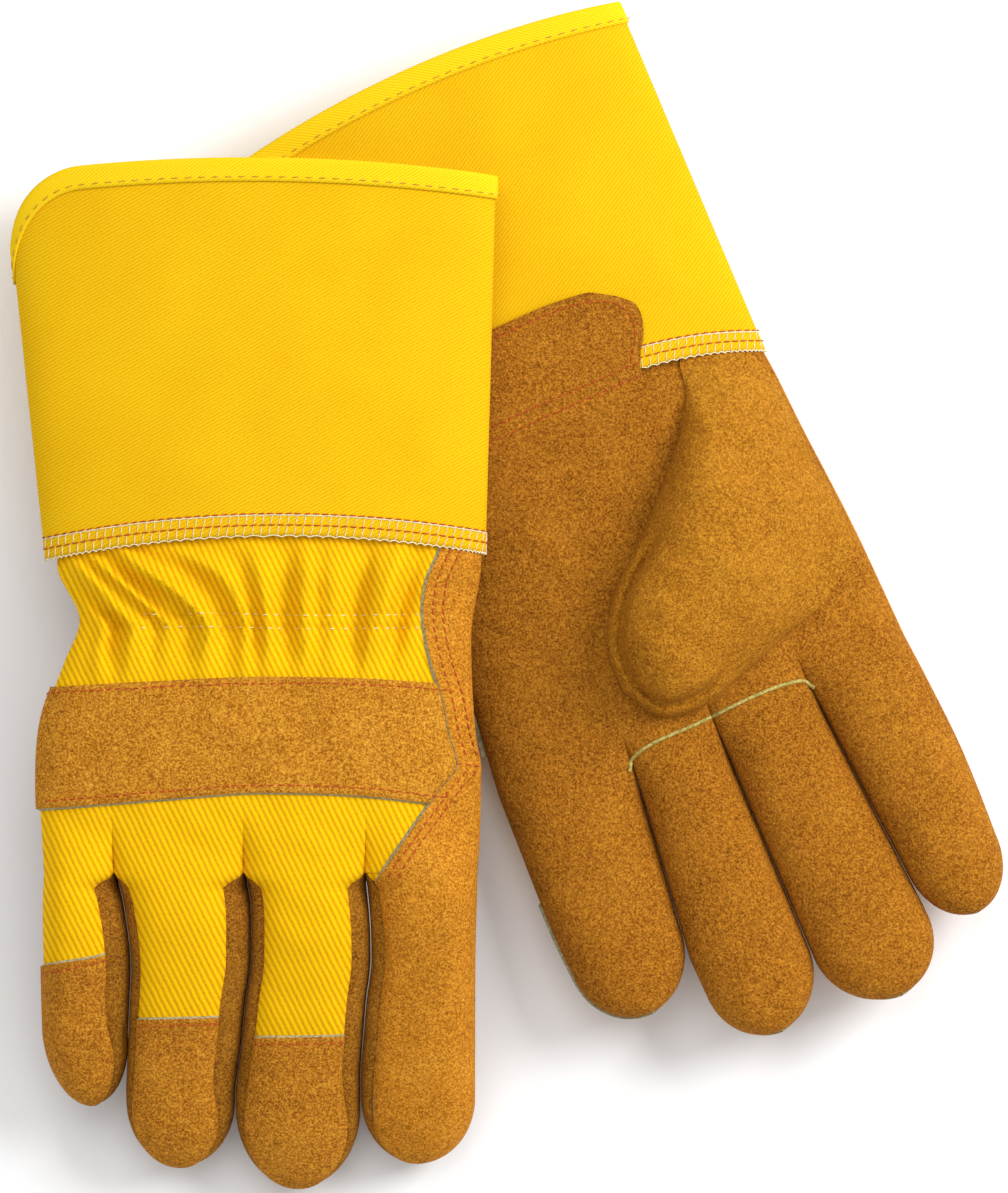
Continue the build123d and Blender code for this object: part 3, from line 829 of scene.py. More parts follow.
# %% Knuckle strap
def strap_grid(side):
    """The knuckle strap's outer face, from the side seam to the leather's edge."""
    rows, columns = 26, 64
    low, _ = hand_edges(side, np.array(-60.0))
    share = 1 - np.cos(np.linspace(0, math.pi / 2, columns))
    grid = np.zeros((rows, columns, 3))
    for i, down in enumerate(np.linspace(0, 1, rows)):
        x = low + (57 - low) * share
        for _ in range(3):
            upper, lower = strap_edges(x)
            y = upper + (lower - upper) * down
            start, end = hand_edges(side, y)[0], leather_edge(y) - 0.3
            x = start + (end - start) * share
        grid[i] = hand_surface(side, "back", x, y)
    return grid


STRAP_PROUD = 1.35
for side in SIDES:
    grid = strap_grid(side)
    middle = hand_inside(side, grid)
    raised = grid - unit(middle - grid) * STRAP_PROUD
    piece = panel(
        f"{side}_knuckle_strap_leather", side, raised, middle, 1.25, LEATHER["strap"], CUT_EDGE,
        lips={"last_row": 0.6},
    )  # fmt: skip
    fasten(piece, side, "hand", "split_leather", "knuckle_strap")
print("strap points:", grid.shape)

# %% Leather beside and behind the index finger
def index_leather_grid(side):
    """One piece of leather from the wrist, past the strap's end and on over the back of the index finger."""
    finger = finger_back(side, "index")
    y_hand = np.linspace(5.5, FINGER_START_Y, 64)[:-1]
    _, high = hand_edges(side, y_hand)
    start = leather_edge(y_hand)
    share = np.sin(np.linspace(0, math.pi / 2, BACK + 1))
    x = start[:, None] + (high - start)[:, None] * share
    hand = hand_surface(side, "back", x, y_hand[:, None])
    # On the finger the same columns start from the slanting edge until it meets the finger's seam.
    y = finger[:, 0, 1]
    begin = np.maximum(leather_edge(y), finger[:, 0, 0])
    span = finger[:, -1, 0] - begin
    dense = begin[:, None] + span[:, None] * share
    z = np.array([np.interp(dense[i], finger[i, :, 0], finger[i, :, 2]) for i in range(len(y))])
    on_finger = np.stack([dense, np.broadcast_to(y[:, None], dense.shape), z], -1)
    return np.concatenate([hand, on_finger], 0)


def index_inside(side, grid):
    """Points inside the hand and the index finger under that leather."""
    finger = finger_inside(side, "index", finger_back(side, "index"))
    hand_rows = len(grid) - len(finger)
    return np.concatenate([hand_inside(side, grid[:hand_rows]), finger], 0)


for side in SIDES:
    grid = index_leather_grid(side)
    middle = index_inside(side, grid)
    fade = np.cos(np.linspace(0, math.pi / 2, grid.shape[1])) ** 0.5
    tip_fade = 1 - 0.75 * ease(grid[:, 0, 1], -104, -125)
    raised = grid - unit(middle - grid) * (STRAP_PROUD * fade[None] * tip_fade[:, None])[..., None]
    piece = panel(
        f"{side}_index_back_leather", side, raised, middle, 1.25, LEATHER["index"], CUT_EDGE,
        lips={"first_column": 1.0},
    )  # fmt: skip
    fasten(piece, side, "index", "split_leather", "side_strip", "index_back")
print("index leather points:", grid.shape)

# %% Fingers
for side in SIDES:
    for finger in FINGERS:
        front = finger_front(side, finger)
        y = finger_rows(side, finger)[0]
        inside = finger_inside(side, finger, front)
        # The right glove's finger fronts take the walls' leather, darkened as painted shade; the left glove's
        # take the palm's.
        shade = LEATHER["walls"] if side == "right" else LEATHER["palm"]
        k = FINGERS.index(finger)
        normals = shared_normals(hand_grid(side, "palm"), front, k * FINE, 0 if finger == "little" else WALL)
        piece = panel(
            f"{side}_{finger}_front_leather", side, front, inside, LEATHER_MM, shade, normals=normals
        )
        fasten(piece, side, finger, "split_leather", f"{finger}_front")
        back = finger_back(side, finger)
        inside = finger_inside(side, finger, back)
        if finger == "index":
            rows = y > -112
            sunk = back[rows] + unit(inside[rows] - back[rows]) * 0.3
            piece = panel(f"{side}_{finger}_root_drill", side, sunk, inside[rows], DRILL_MM, DRILL)
            fasten(piece, side, finger, "cotton_drill")
            continue
        rows = y > CAP_Y[finger] - 5
        normals = shared_normals(hand_grid(side, "back"), back, k * FINE, 0)[rows]
        piece = panel(
            f"{side}_{finger}_back_drill", side, back[rows], inside[rows], DRILL_MM, DRILL, normals=normals
        )
        fasten(piece, side, finger, "cotton_drill", f"{finger}_back")
        declare_sheet(back[rows])
        # The cap starts at its own slanting seam, so its rows are spread afresh along each column.
        across = np.linspace(-1, 1, back.shape[1])
        start_y = CAP_Y[finger] + CAP_SLANT[finger] * across
        places = np.arange(len(y), dtype=float)
        starts = np.interp(-start_y, -y, places)
        count = int(len(y) - starts.min()) + 3
        cap = np.zeros((count, back.shape[1], 3))
        cap_inside = np.zeros_like(cap)
        for j, start in enumerate(starts):
            at = np.linspace(start, len(y) - 1, count)
            for c in range(3):
                cap[:, j, c] = np.interp(at, places, back[:, j, c])
                cap_inside[:, j, c] = np.interp(at, places, inside[:, j, c])
        proud = (1.15 - 0.5 * np.linspace(0, 1, count) ** 2)[:, None] * (1 - 0.25 * across[None] ** 6)
        cap = cap - unit(cap_inside - cap) * proud[..., None]
        piece = panel(
            f"{side}_{finger}_tip_cap", side, cap, cap_inside, 1.25, LEATHER["tips"], CUT_EDGE,
            lips={"first_row": 0.7},
        )  # fmt: skip
        fasten(piece, side, finger, "split_leather", f"{finger}_tip")

# %% [markdown]
# ## The thumb, folded across the palm
#
# The thumb is a wing of leather. Its root runs down the thumb side of the palm, and it lies across the palm
# with its tip near the middle. Its grid runs from root to tip and from the upper to the lower outline. The
# outer face arches up from the palm like a half-filled pillow, and rises slowly from the root, where it is
# one with the palm. The inner leather lies just over the palm.

# %% The thumb's outline
THUMB_UPPER = (
    (66.5, 4), (56, 8.5), (47, 9.5), (41.6, 5), (39.6, -2.4), (34.4, -11.6), (24.4, -23),
    (8.5, -38.0), (-7.0, -51.5), (-14.8, -64.7),
)  # fmt: skip
THUMB_LOWER = (
    (68.7, -75), (60, -76.5), (52, -78.8), (38, -82.5), (25.5, -86.5), (14, -90), (3, -92.4), (-8.5, -89.8),
)  # fmt: skip
THUMB_TIP = (-16.0, -78.0)
THUMB_ARCH = 23.0  # how high the thumb stands on the palm
ROLL = 4.6  # width of the rolled seam round the thumb's end
THUMB_ACROSS = np.sin(np.linspace(-math.pi / 2, math.pi / 2, 81))
THUMB_ALONG = np.sin(np.linspace(0, math.pi / 2, 111))


def along_outline(points, share):
    """Places along an outline through a few points, by share of its length."""
    points = np.array(points, float)
    length = np.concatenate([[0], np.cumsum(np.hypot(*np.diff(points, axis=0).T))])
    return np.stack([curve(share * length[-1], *zip(length, points[:, c])) for c in (0, 1)], -1)


def thumb_plan(side):
    """The thumb's grid seen from above, from root to tip and from its upper to its lower outline."""
    upper = along_outline(THUMB_UPPER + (THUMB_TIP,), THUMB_ALONG)
    lower = along_outline(THUMB_LOWER + (THUMB_TIP,), THUMB_ALONG)
    share = (1 + THUMB_ACROSS[None, :, None]) / 2
    plan = upper[:, None] * (1 - share) + lower[:, None] * share
    edge = curve(plan[0, :, 1], *HAND_EDGES[side][1])
    plan[..., 0] += (edge - plan[0, :, 0])[None] * (1 - ease(THUMB_ALONG, 0, 0.3))[:, None]
    return plan


def thumb_rise(plan):
    """How far the thumb's outer face stands off the palm: a roll round the seam, then a soft pillow."""
    even = np.linspace(0, 1, 900)
    outline = np.concatenate([
        along_outline(THUMB_UPPER + (THUMB_TIP,), even), along_outline(THUMB_LOWER + (THUMB_TIP,), even)[::-1]
    ])  # fmt: skip
    inwards = np.array([np.sqrt(((row[:, None] - outline[None]) ** 2).sum(-1).min(-1)) for row in plan])
    inwards[:, [0, -1]] = 0
    # The pillow climbs steeply from the seam, but slopes softly where the thumb's root meets the palm below.
    full = 27.0
    steep = np.maximum(1 - (1 - np.clip(inwards / full, 0, 1)) ** 2.5, 0) ** 0.55
    soft = ease(inwards, -2, full + 4)
    below = ease(THUMB_ACROSS, 0, 0.5)[None] * ease(plan[..., 0], 2, 22)
    below = below * (0.35 + 0.65 * ease(plan[..., 0], 34, 56))
    pillow = THUMB_ARCH * (steep * (1 - below) + soft * below)
    # Round the end the inner leather shows as a roll outside the seam's crease.
    rolled = ease(plan[..., 1], -30, -44) * ease(plan[..., 0], 20, 6)
    roll = 7.0 * np.maximum(1 - ((inwards - ROLL * 0.55) / (ROLL * 0.55)) ** 2, 0) ** 0.5
    crease = 2.2 * np.exp(-(((inwards - ROLL) / 0.9) ** 2))
    outside = 1 - ease(inwards, ROLL - 0.8, ROLL + 0.4)
    with_roll = (roll * outside + (pillow - crease) * (1 - outside)) * rolled + pillow * (1 - rolled)
    along = np.clip(THUMB_ALONG / 0.5, 0, 1)[:, None]
    grown = np.sin(along * math.pi / 2) ** 0.9
    under_cuff = 0.05 + 0.95 * ease(plan[..., 1], 9, -24)
    return np.maximum(with_roll, 0) * grown * under_cuff


# %% Cutting the thumb
for side in SIDES:
    plan = thumb_plan(side)
    x, y = plan[..., 0], plan[..., 1]
    palm_z = hand_height(side, "palm", x, y)
    rise = thumb_rise(plan)
    uneven = 0.5 * ripple(x, y, 31) * np.minimum(1, rise / 10)
    outer = np.stack([x, y, -(palm_z + 0.4 + rise + uneven)], -1)
    centre = along_outline(((60, -37), (30, -54), (2, -72), (-4, -76)), THUMB_ALONG)
    pulled = plan + (centre[:, None] - plan) * 0.35
    inside = np.stack([pulled[..., 0], pulled[..., 1], -(palm_z + 0.2 + 0.4 * rise)], -1)
    piece = panel(f"{side}_thumb_front_leather", side, outer, inside, LEATHER_MM, LEATHER["thumb"])
    fasten(piece, side, "thumb", "split_leather", "thumb_front")
    under = np.stack([x, y, -(palm_z + 0.25)], -1)
    above = under + np.array([0, 0, -1.0])
    piece = panel(f"{side}_thumb_back_leather", side, under, above, 0.5 * LEATHER_MM, LEATHER["palm"])
    fasten(piece, side, "thumb", "split_leather", "thumb_back")
print("thumb points:", outer.shape, "highest", round(float(rise.max()), 1), "mm")

# %% [markdown]
# ## The cuff
#
# The gauntlet is one layer of canvas made into a tube that flares towards the mouth. Lying down it is a
# flattened lens, with a soft fold at each side. The mouth is cut to an arch, with its corner on the little
# finger's side rounded off. The tape that binds the mouth and every row of stitches use the same surface.

# %% The cuff's surface
CUFF_LENGTH, CORNER = 110.0, 23.0
MOUTH_RISE = {"right": 5.0, "left": 8.5}
WRIST_HALF, MOUTH_HALF, MOUTH_SHIFT = 66.3, 73.6, -4.3
BINDING_WIDTH, BINDING_END = 6.4, 78.0
CUFF_CROWN, CROWN_LOSS = 12.8, 0.6  # half its thickness at the wrist, and how much less at the mouth
ROUND_X, ROUND_Z = 0.86, 1.02  # how full the flattened tube's section is
CANVAS_MM = 1.5
CUFF_COLUMNS = 180


def cuff_round(column_share):
    """Shares of the half width and the crown at each place round the flattened tube, from 0 to 1."""
    turn = 2 * math.pi * column_share
    x = np.sign(np.cos(turn)) * np.abs(np.cos(turn)) ** ROUND_X
    z = np.sign(np.sin(turn)) * np.abs(np.sin(turn)) ** ROUND_Z
    return x, z


def cuff_half(y):
    """Half the cuff's width at each y."""
    return WRIST_HALF + (MOUTH_HALF - WRIST_HALF) * y / CUFF_LENGTH


def cuff_middle(y):
    """The cuff's middle line: it flares only on the little finger's side."""
    return MOUTH_SHIFT * y / CUFF_LENGTH


def mouth_arch(side, x_share):
    """The plain arch of the mouth; the lying glove's cuff has spread into a higher one."""
    rise = MOUTH_RISE[side]
    return CUFF_LENGTH + rise * (1 - x_share**2) + 0.35 * (rise - MOUTH_RISE["right"]) * x_share


def corner_fall(x_share):
    """How far the rounded corner has fallen, from 0 beside it to 1 at the little finger's edge."""
    inside_corner = np.clip((-MOUTH_HALF + CORNER - x_share * MOUTH_HALF) / CORNER, 0, 1)
    return 1 - np.sqrt(np.maximum(1 - inside_corner**2, 0))


def mouth_y(side, x_share):
    """The y of the mouth's edge, by share of the half width."""
    return mouth_arch(side, x_share) - CORNER * corner_fall(x_share)


def tape_y(side, x_share):
    """The y of the binding's lower edge, by share of the half width."""
    drop_to_end = CUFF_LENGTH - BINDING_WIDTH - BINDING_END
    return mouth_arch(side, x_share) - BINDING_WIDTH - drop_to_end * corner_fall(x_share)


def seam_y(x_share, z_share):
    """The y of the cuff's lower edge: it arches over the back of the hand, and more over the palm."""
    on_back = 2.7 - 6.2 * x_share**2
    on_palm = 9.5 - 13.0 * np.abs(x_share) ** 2.4
    return np.where(z_share >= 0, on_back, on_palm) + x_share


def cuff_surface(column_share, y, proud=0.0):
    """Points on the cuff's outer surface at each place round it, or standing proud of it."""
    column_share, y = np.broadcast_arrays(np.asarray(column_share, float), np.asarray(y, float))
    step = 1e-3
    crown = CUFF_CROWN - CROWN_LOSS * y / CUFF_LENGTH
    half = cuff_half(y)
    sx, sz = cuff_round(column_share)
    ahead, behind = cuff_round(column_share + step), cuff_round(column_share - step)
    normal_x, normal_z = (ahead[1] - behind[1]) * crown, -(ahead[0] - behind[0]) * half
    size = np.maximum(np.hypot(normal_x, normal_z), 1e-9)
    x, z = half * sx, crown * sz
    swell = 0.5 * ripple(x, y + 40 * np.sign(sz), 41, (70.0, 45.0, 27.0)) * np.abs(sz) ** 0.5
    swell = swell * ease(y, 8, 30) * ease(y, 118, 92) + proud
    return np.stack([cuff_middle(y) + x + normal_x / size * swell, y, z + normal_z / size * swell], -1)


def cuff_inside(points):
    """Points on the cuff's middle plane, towards which it gets thicker."""
    reach, middle = cuff_half(points[..., 1]) - 8, cuff_middle(points[..., 1])
    x = np.clip(points[..., 0], middle - reach, middle + reach)
    return np.stack([x, points[..., 1], np.zeros(points.shape[:2])], -1)


# %% Cuff, and the tape that binds its mouth
columns = np.arange(CUFF_COLUMNS) / CUFF_COLUMNS
share_x, share_z = cuff_round(columns)
for side in SIDES:
    down = np.linspace(0, 1, 70)[:, None]
    lower, upper = seam_y(share_x, share_z), mouth_y(side, share_x)
    y = lower[None] + (upper - lower)[None] * down
    grid = cuff_surface(columns[None], y)
    piece = panel(f"{side}_cuff_canvas", side, grid, cuff_inside(grid), CANVAS_MM, CANVAS, wrap=True)
    fasten(piece, side, "hand", "rubberised_canvas", "cuff")
    declare_sheet(grid, wrap=True)
    # The tape's section: down the outside, over the raw edge, up the inside, back along its own inner face.
    edge_y, low_y = mouth_y(side, share_x), tape_y(side, share_x)
    rings = [cuff_surface(columns, low_y + (edge_y - low_y) * part, 0.75) for part in np.linspace(0, 0.95, 6)]
    for lift, proud in ((0.55, 0.45), (0.75, -0.75), (0.55, -1.95)):
        rings.append(cuff_surface(columns, edge_y + lift, proud))
    rings += (
        [cuff_surface(columns, low_y + (edge_y - low_y) * part, -2.25) for part in np.linspace(0.95, 0, 6)]
    )
    rings += [cuff_surface(columns, low_y + (edge_y - low_y) * part, -1.55) for part in (0.0, 0.96)]
    rings += [cuff_surface(columns, low_y + (edge_y - low_y) * part, 0.05) for part in (0.96, 0.0)]
    rings = np.array(rings + [rings[0]])
    count = len(rings) - 1
    points = lay(side, rings[:-1]).reshape(-1, 3)
    i, j = np.meshgrid(np.arange(count), np.arange(CUFF_COLUMNS), indexing="ij")
    right, above = (j + 1) % CUFF_COLUMNS, (i + 1) % count
    row, next_row = i * CUFF_COLUMNS, above * CUFF_COLUMNS
    faces = np.stack([row + j, row + right, next_row + right, next_row + j], -1).reshape(-1, 4)
    if side == "left":
        faces = faces[:, ::-1]
    mesh = bpy.data.meshes.new(f"{side}_mouth_binding")
    mesh.from_pydata(points.tolist(), [], faces.tolist())
    along = np.cumsum(np.linalg.norm(np.diff(rings[4], axis=0, append=rings[4][:1]), axis=1))
    around = np.arange(count)[:, None] * np.ones(CUFF_COLUMNS)
    flat = np.stack([np.broadcast_to(along, (count, CUFF_COLUMNS)), around], -1)
    layer = mesh.uv_layers.new(name="cut")
    layer.data.foreach_set("uv", (flat.reshape(-1, 2)[faces.reshape(-1)] / 1000).astype(np.float32).ravel())
    mesh.materials.append(TAPE)
    mesh.shade_smooth()
    piece = bpy.data.objects.new(f"{side}_mouth_binding", mesh)
    bpy.context.scene.collection.objects.link(piece)
    fasten(piece, side, "hand", "binding_tape", "cuff_binding")
print("cuff:", grid.shape, "binding:", rings.shape)


# %% [markdown]
# ## The patch that guards the wrist
#
# On the palm side the leather runs on over the cuff's edge as a rounded flap. It lies on the canvas, and at
# its foot it sinks into the palm leather, since the two are sewn together there.

# %% Pulse patch
PATCH_LEFT, PATCH_FOOT = -50.0, -9.0


def patch_right(y):
    """The x of the patch's edge on the thumb's side."""
    return curve(y, (-9, 30), (7, 29.2), (11, 30.6), (17, 34.4), (24, 36.4), (31, 33.2), (35, 27.5))


def patch_top(x):
    """The y of the patch's upper edge."""
    return curve(x, (-50, 30), (-45, 34.5), (-36, 36.6), (-4, 37.2), (18, 36.4), (27.5, 34.2), (37, 26))


def under_cuff_height(x, y):
    """How far the cuff's palm side stands from the middle plane."""
    crown = CUFF_CROWN - CROWN_LOSS * y / CUFF_LENGTH
    turn = np.arccos(np.clip(np.abs(x - cuff_middle(y)) / cuff_half(y), 0, 1) ** (1 / ROUND_X))
    return crown * np.sin(turn) ** ROUND_Z


def patch_height(side, x, y):
    """The patch's outer face: proud of the canvas, and sinking to the palm at its foot."""
    on_cuff = under_cuff_height(x, y) + 1.5 + 0.25 * ripple(x, y, 51)
    on_palm = hand_height(side, "palm", x, y) - 0.1
    return on_palm + (on_cuff - on_palm) * ease(y, PATCH_FOOT, 6)


for side in SIDES:
    across = (1 - np.cos(np.linspace(0, math.pi, 60))) / 2
    upward = np.linspace(0, 1, 44)[:, None]
    x = PATCH_LEFT + (33.0 - PATCH_LEFT) * across[None] * np.ones_like(upward)
    for _ in range(6):
        y = PATCH_FOOT + (patch_top(x) - PATCH_FOOT) * upward
        x = PATCH_LEFT + (patch_right(y) - PATCH_LEFT) * across[None]
    grid = np.stack([x, y, -patch_height(side, x, y)], -1)
    inside = grid * np.array([0.8, 1, 0])
    piece = panel(f"{side}_pulse_patch_leather", side, grid, inside, 1.3, LEATHER["palm"], CUT_EDGE)
    fasten(piece, side, "hand", "split_leather", "pulse_patch")
print("patch:", grid.shape)

# %% [markdown]
# ## Thread
#
# Two Geometry Nodes trees make all the thread. One lays a stitch at every step along a path: a small
# rounded bead, stretched along the seam and leaned a little, on the cloth's own up direction. The other
# sweeps a round strand along a path, for the overlock's loops and for the fingers' welt. Both end by
# realising the copies and giving them their finish, so the result is a plain mesh.

# %% Node trees for stitches and strands
def new_tree(name, inputs):
    """A geometry node tree with its inputs: name, socket type and starting value."""
    tree = bpy.data.node_groups.new(name, "GeometryNodeTree")
    tree.is_modifier = True
    tree.interface.new_socket("Geometry", in_out="INPUT", socket_type="NodeSocketGeometry")
    for label, kind, value in inputs:
        socket = tree.interface.new_socket(label, in_out="INPUT", socket_type=kind)
        if value is not None:
            socket.default_value = value
    tree.interface.new_socket("Geometry", in_out="OUTPUT", socket_type="NodeSocketGeometry")
    return tree, tree.nodes.new("NodeGroupInput").outputs, tree.nodes.new("NodeGroupOutput").inputs


def stitch_tree():
    """Beads of thread at even steps along every path."""
    tree, given, result = new_tree("stitch_row", [
        ("Step", "NodeSocketFloat", 0.003),
        ("Length", "NodeSocketFloat", 0.0022),
        ("Width", "NodeSocketFloat", 0.0006),
        ("Lean", "NodeSocketFloat", 0.12),
        ("Seed", "NodeSocketInt", 1),
        ("Thread", "NodeSocketMaterial", None),
    ])  # fmt: skip
    paths = add_node(tree, "GeometryNodeMeshToCurve", {"Mesh": given["Geometry"]})
    steps = add_node(
        tree, "GeometryNodeResampleCurve", {"Curve": paths.outputs[0], "Length": given["Step"]}, mode="LENGTH"
    )
    bead = add_node(tree, "GeometryNodeMeshUVSphere", {"Segments": 8, "Rings": 6, "Radius": 0.5})
    soft = add_node(tree, "GeometryNodeSetShadeSmooth", {"Geometry": bead.outputs[0]})
    tangent = add_node(tree, "GeometryNodeInputTangent")
    up = add_node(tree, "GeometryNodeInputNamedAttribute", {"Name": "up"}, data_type="FLOAT_VECTOR")
    along = add_node(tree, "FunctionNodeAlignRotationToVector", {"Vector": tangent.outputs[0]}, axis="X")
    flat = add_node(
        tree, "FunctionNodeAlignRotationToVector",
        {"Rotation": along.outputs[0], "Vector": up.outputs[0]}, axis="Z", pivot_axis="X",
    )  # fmt: skip
    jitter = add_node(
        tree, "FunctionNodeRandomValue", {2: -0.5, 3: 0.5, "Seed": given["Seed"]}, data_type="FLOAT"
    )
    lean = add_node(
        tree, "ShaderNodeMath", {0: jitter.outputs[1], 1: 0.16, 2: given["Lean"]}, operation="MULTIPLY_ADD"
    )
    angle = add_node(tree, "ShaderNodeCombineXYZ", {"Z": lean.outputs[0]})
    leaned = add_node(
        tree, "FunctionNodeRotateRotation", {"Rotation": flat.outputs[0], "Rotate By": angle.outputs[0]},
        rotation_space="LOCAL",
    )  # fmt: skip
    size = add_node(
        tree, "ShaderNodeCombineXYZ", {"X": given["Length"], "Y": given["Width"], "Z": given["Width"]}
    )
    row = add_node(
        tree, "GeometryNodeInstanceOnPoints",
        {"Points": steps.outputs[0], "Instance": soft.outputs[0], "Rotation": leaned.outputs[0],
         "Scale": size.outputs[0]},
    )  # fmt: skip
    real = add_node(tree, "GeometryNodeRealizeInstances", {"Geometry": row.outputs[0]})
    done = add_node(
        tree, "GeometryNodeSetMaterial", {"Geometry": real.outputs[0], "Material": given["Thread"]}
    )
    tree.links.new(done.outputs[0], result[0])
    return tree


def strand_tree():
    """A round strand swept along every path."""
    tree, given, result = new_tree("strand", [
        ("Radius", "NodeSocketFloat", 0.0003),
        ("Sides", "NodeSocketInt", 6),
        ("Thread", "NodeSocketMaterial", None),
    ])  # fmt: skip
    paths = add_node(tree, "GeometryNodeMeshToCurve", {"Mesh": given["Geometry"]})
    ring = add_node(
        tree, "GeometryNodeCurvePrimitiveCircle", {"Resolution": given["Sides"], "Radius": given["Radius"]}
    )
    swept = add_node(
        tree, "GeometryNodeCurveToMesh",
        {"Curve": paths.outputs[0], "Profile Curve": ring.outputs[0], "Fill Caps": True},
    )  # fmt: skip
    real = add_node(tree, "GeometryNodeRealizeInstances", {"Geometry": swept.outputs[0]})
    done = add_node(
        tree, "GeometryNodeSetMaterial", {"Geometry": real.outputs[0], "Material": given["Thread"]}
    )
    tree.links.new(done.outputs[0], result[0])
    return tree


STITCH_ROW, STRAND = stitch_tree(), strand_tree()


def grow(name, side, tree, paths, **values):
    """Runs a tree over paths of (points, ups) in the glove's millimetres, and returns a plain mesh object."""
    points, ups, edges, count = [], [], [], 0
    for path, up in paths:
        laid, tips = lay(side, path), lay(side, path + up)
        points.append(laid)
        ups.append(unit(tips - laid))
        edges += [(count + i, count + i + 1) for i in range(len(path) - 1)]
        count += len(path)
    mesh = bpy.data.meshes.new(name)
    mesh.from_pydata(np.concatenate(points).tolist(), edges, [])
    attribute = mesh.attributes.new("up", "FLOAT_VECTOR", "POINT")
    attribute.data.foreach_set("vector", np.concatenate(ups).astype(np.float32).ravel())
    guide = bpy.data.objects.new(name, mesh)
    bpy.context.scene.collection.objects.link(guide)
    modifier = guide.modifiers.new("thread", "NODES")
    modifier.node_group = tree
    sockets = {item.name: item.identifier for item in tree.interface.items_tree if item.in_out == "INPUT"}
    for label, value in values.items():
        modifier[sockets[label]] = value
    evaluated = guide.evaluated_get(bpy.context.evaluated_depsgraph_get())
    plain = bpy.data.meshes.new_from_object(evaluated)
    guide.modifiers.clear()
    guide.data = plain
    plain.name = name
    plain.shade_smooth()
    return guide


# %% [markdown]
# ## Rows of stitches
#
# A row is drawn as an outline on the flat glove and dropped on the surface it sews: the back, the strap
# that stands proud of it, the leather's edge, a finger's cap or the cuff. The up direction at each point
# comes from the surface's own slope there.

# %% Dropping a row on a surface
def drop(height, up_sign, points, proud=0.1):
    """A path on a surface given by a height function, with the surface's direction at each point."""
    points = np.asarray(points, float)
    length = np.concatenate([[0], np.cumsum(np.hypot(*np.diff(points, axis=0).T))])
    at = np.arange(0, length[-1], 0.8)
    x, y = (curve(at, *zip(length, points[:, c])) for c in (0, 1))
    z, step = height(x, y), 0.6
    slope_x = (height(x + step, y) - height(x - step, y)) / (2 * step)
    slope_y = (height(x, y + step) - height(x, y - step)) / (2 * step)
    up = unit(np.stack([-slope_x, -slope_y, np.ones_like(x)], -1)) * np.array([1, 1, up_sign])
    path = np.stack([x, y, up_sign * z], -1)
    return path + up * proud, up


def beside_edge(offset, start, end, count=24):
    """The leather's edge on the back, moved sideways, between two y."""
    y = np.linspace(start, end, count)
    return np.stack([leather_edge(y) + offset, y], -1)


STRAP_ROW_INSET = 1.9

for side in SIDES:
    on_back = partial(hand_height, side, "back")
    x = np.linspace(-64, 54, 40)
    upper, lower = strap_edges(x)
    lines = [
        np.stack([x, upper - STRAP_ROW_INSET], -1),
        np.stack([x, lower + STRAP_ROW_INSET + 0.4], -1),
        beside_edge(2.6, -2, -63),
        beside_edge(5.6, -2, -63),
        beside_edge(2.75, -68.5, -99),
        beside_edge(5.5, -68.5, -99),
        [(58, -65.6), (61, -66.0), (63, -66.3)],
    ]
    red_rows = [drop(on_back, 1, line, STRAP_PROUD) for line in lines]
    piece = grow(f"{side}_back_stitches", side, STITCH_ROW, red_rows, Step=0.0027, Length=0.0020,
                 Width=0.0005, Lean=0.1, Seed=3, Thread=THREAD["red"])  # fmt: skip
    fasten(piece, side, "hand", "overlock_thread")
    elastic_rows = [
        drop(on_back, 1, [(-36, row), (-20, row + 0.4), (15, row - 0.3), (46, row)], 0.1)
        for row in (-20.8, -24.8)
    ]
    piece = grow(f"{side}_elastic_stitches", side, STITCH_ROW, elastic_rows, Step=0.0046, Length=0.0017,
                 Width=0.00034, Lean=0.1, Seed=4, Thread=THREAD["white"])  # fmt: skip
    fasten(piece, side, "hand", "overlock_thread")
print("hand stitches:", len(piece.data.vertices), "points")

# %% Stitches across the finger caps
for side in SIDES:
    for finger in ("little", "ring", "middle"):
        back = finger_back(side, finger)
        y = finger_rows(side, finger)[0]
        across = np.linspace(-0.9, 0.9, 24)
        places = np.arange(len(y), dtype=float)
        row_y = CAP_Y[finger] + CAP_SLANT[finger] * across - 2.0
        at = np.interp(-row_y, -y, places)
        column_places = np.sin(np.linspace(-math.pi / 2, math.pi / 2, back.shape[1]))
        path = np.zeros((len(across), 3))
        for n, (a, t) in enumerate(zip(at, across)):
            row, part = int(a), a - int(a)
            line = back[row] * (1 - part) + back[row + 1] * part
            path[n] = [np.interp(t, column_places, line[:, c]) for c in range(3)]
        up = unit(np.stack([across * 0.9, np.zeros_like(across), np.ones_like(across)], -1))
        piece = grow(f"{side}_{finger}_cap_stitches", side, STITCH_ROW, [(path + up * 1.15, up)], Step=0.0026,
                     Length=0.0019, Width=0.0005, Lean=0.1, Seed=5, Thread=THREAD["red"])  # fmt: skip
        fasten(piece, side, finger, "overlock_thread")

# %% Cuff stitches: the binding's row, and the overlocked seam over the hand
def cuff_row(column_share, y, proud):
    """A path round the cuff, with the surface's direction at each point."""
    path = cuff_surface(column_share, y, proud)
    return path, unit(cuff_surface(column_share, y, proud + 1.0) - path)


def keep_clear(path, up):
    """Splits a path round the cuff where the patch covers it."""
    covered = (path[:, 2] < 0) & (path[:, 0] > PATCH_LEFT - 0.5) & (path[:, 0] < 29.8)
    runs, start = [], None
    for n, hidden in enumerate(list(covered) + [True]):
        if not hidden and start is None:
            start = n
        if hidden and start is not None:
            if n - start > 3:
                runs.append((path[start:n], up[start:n]))
            start = None
    return runs


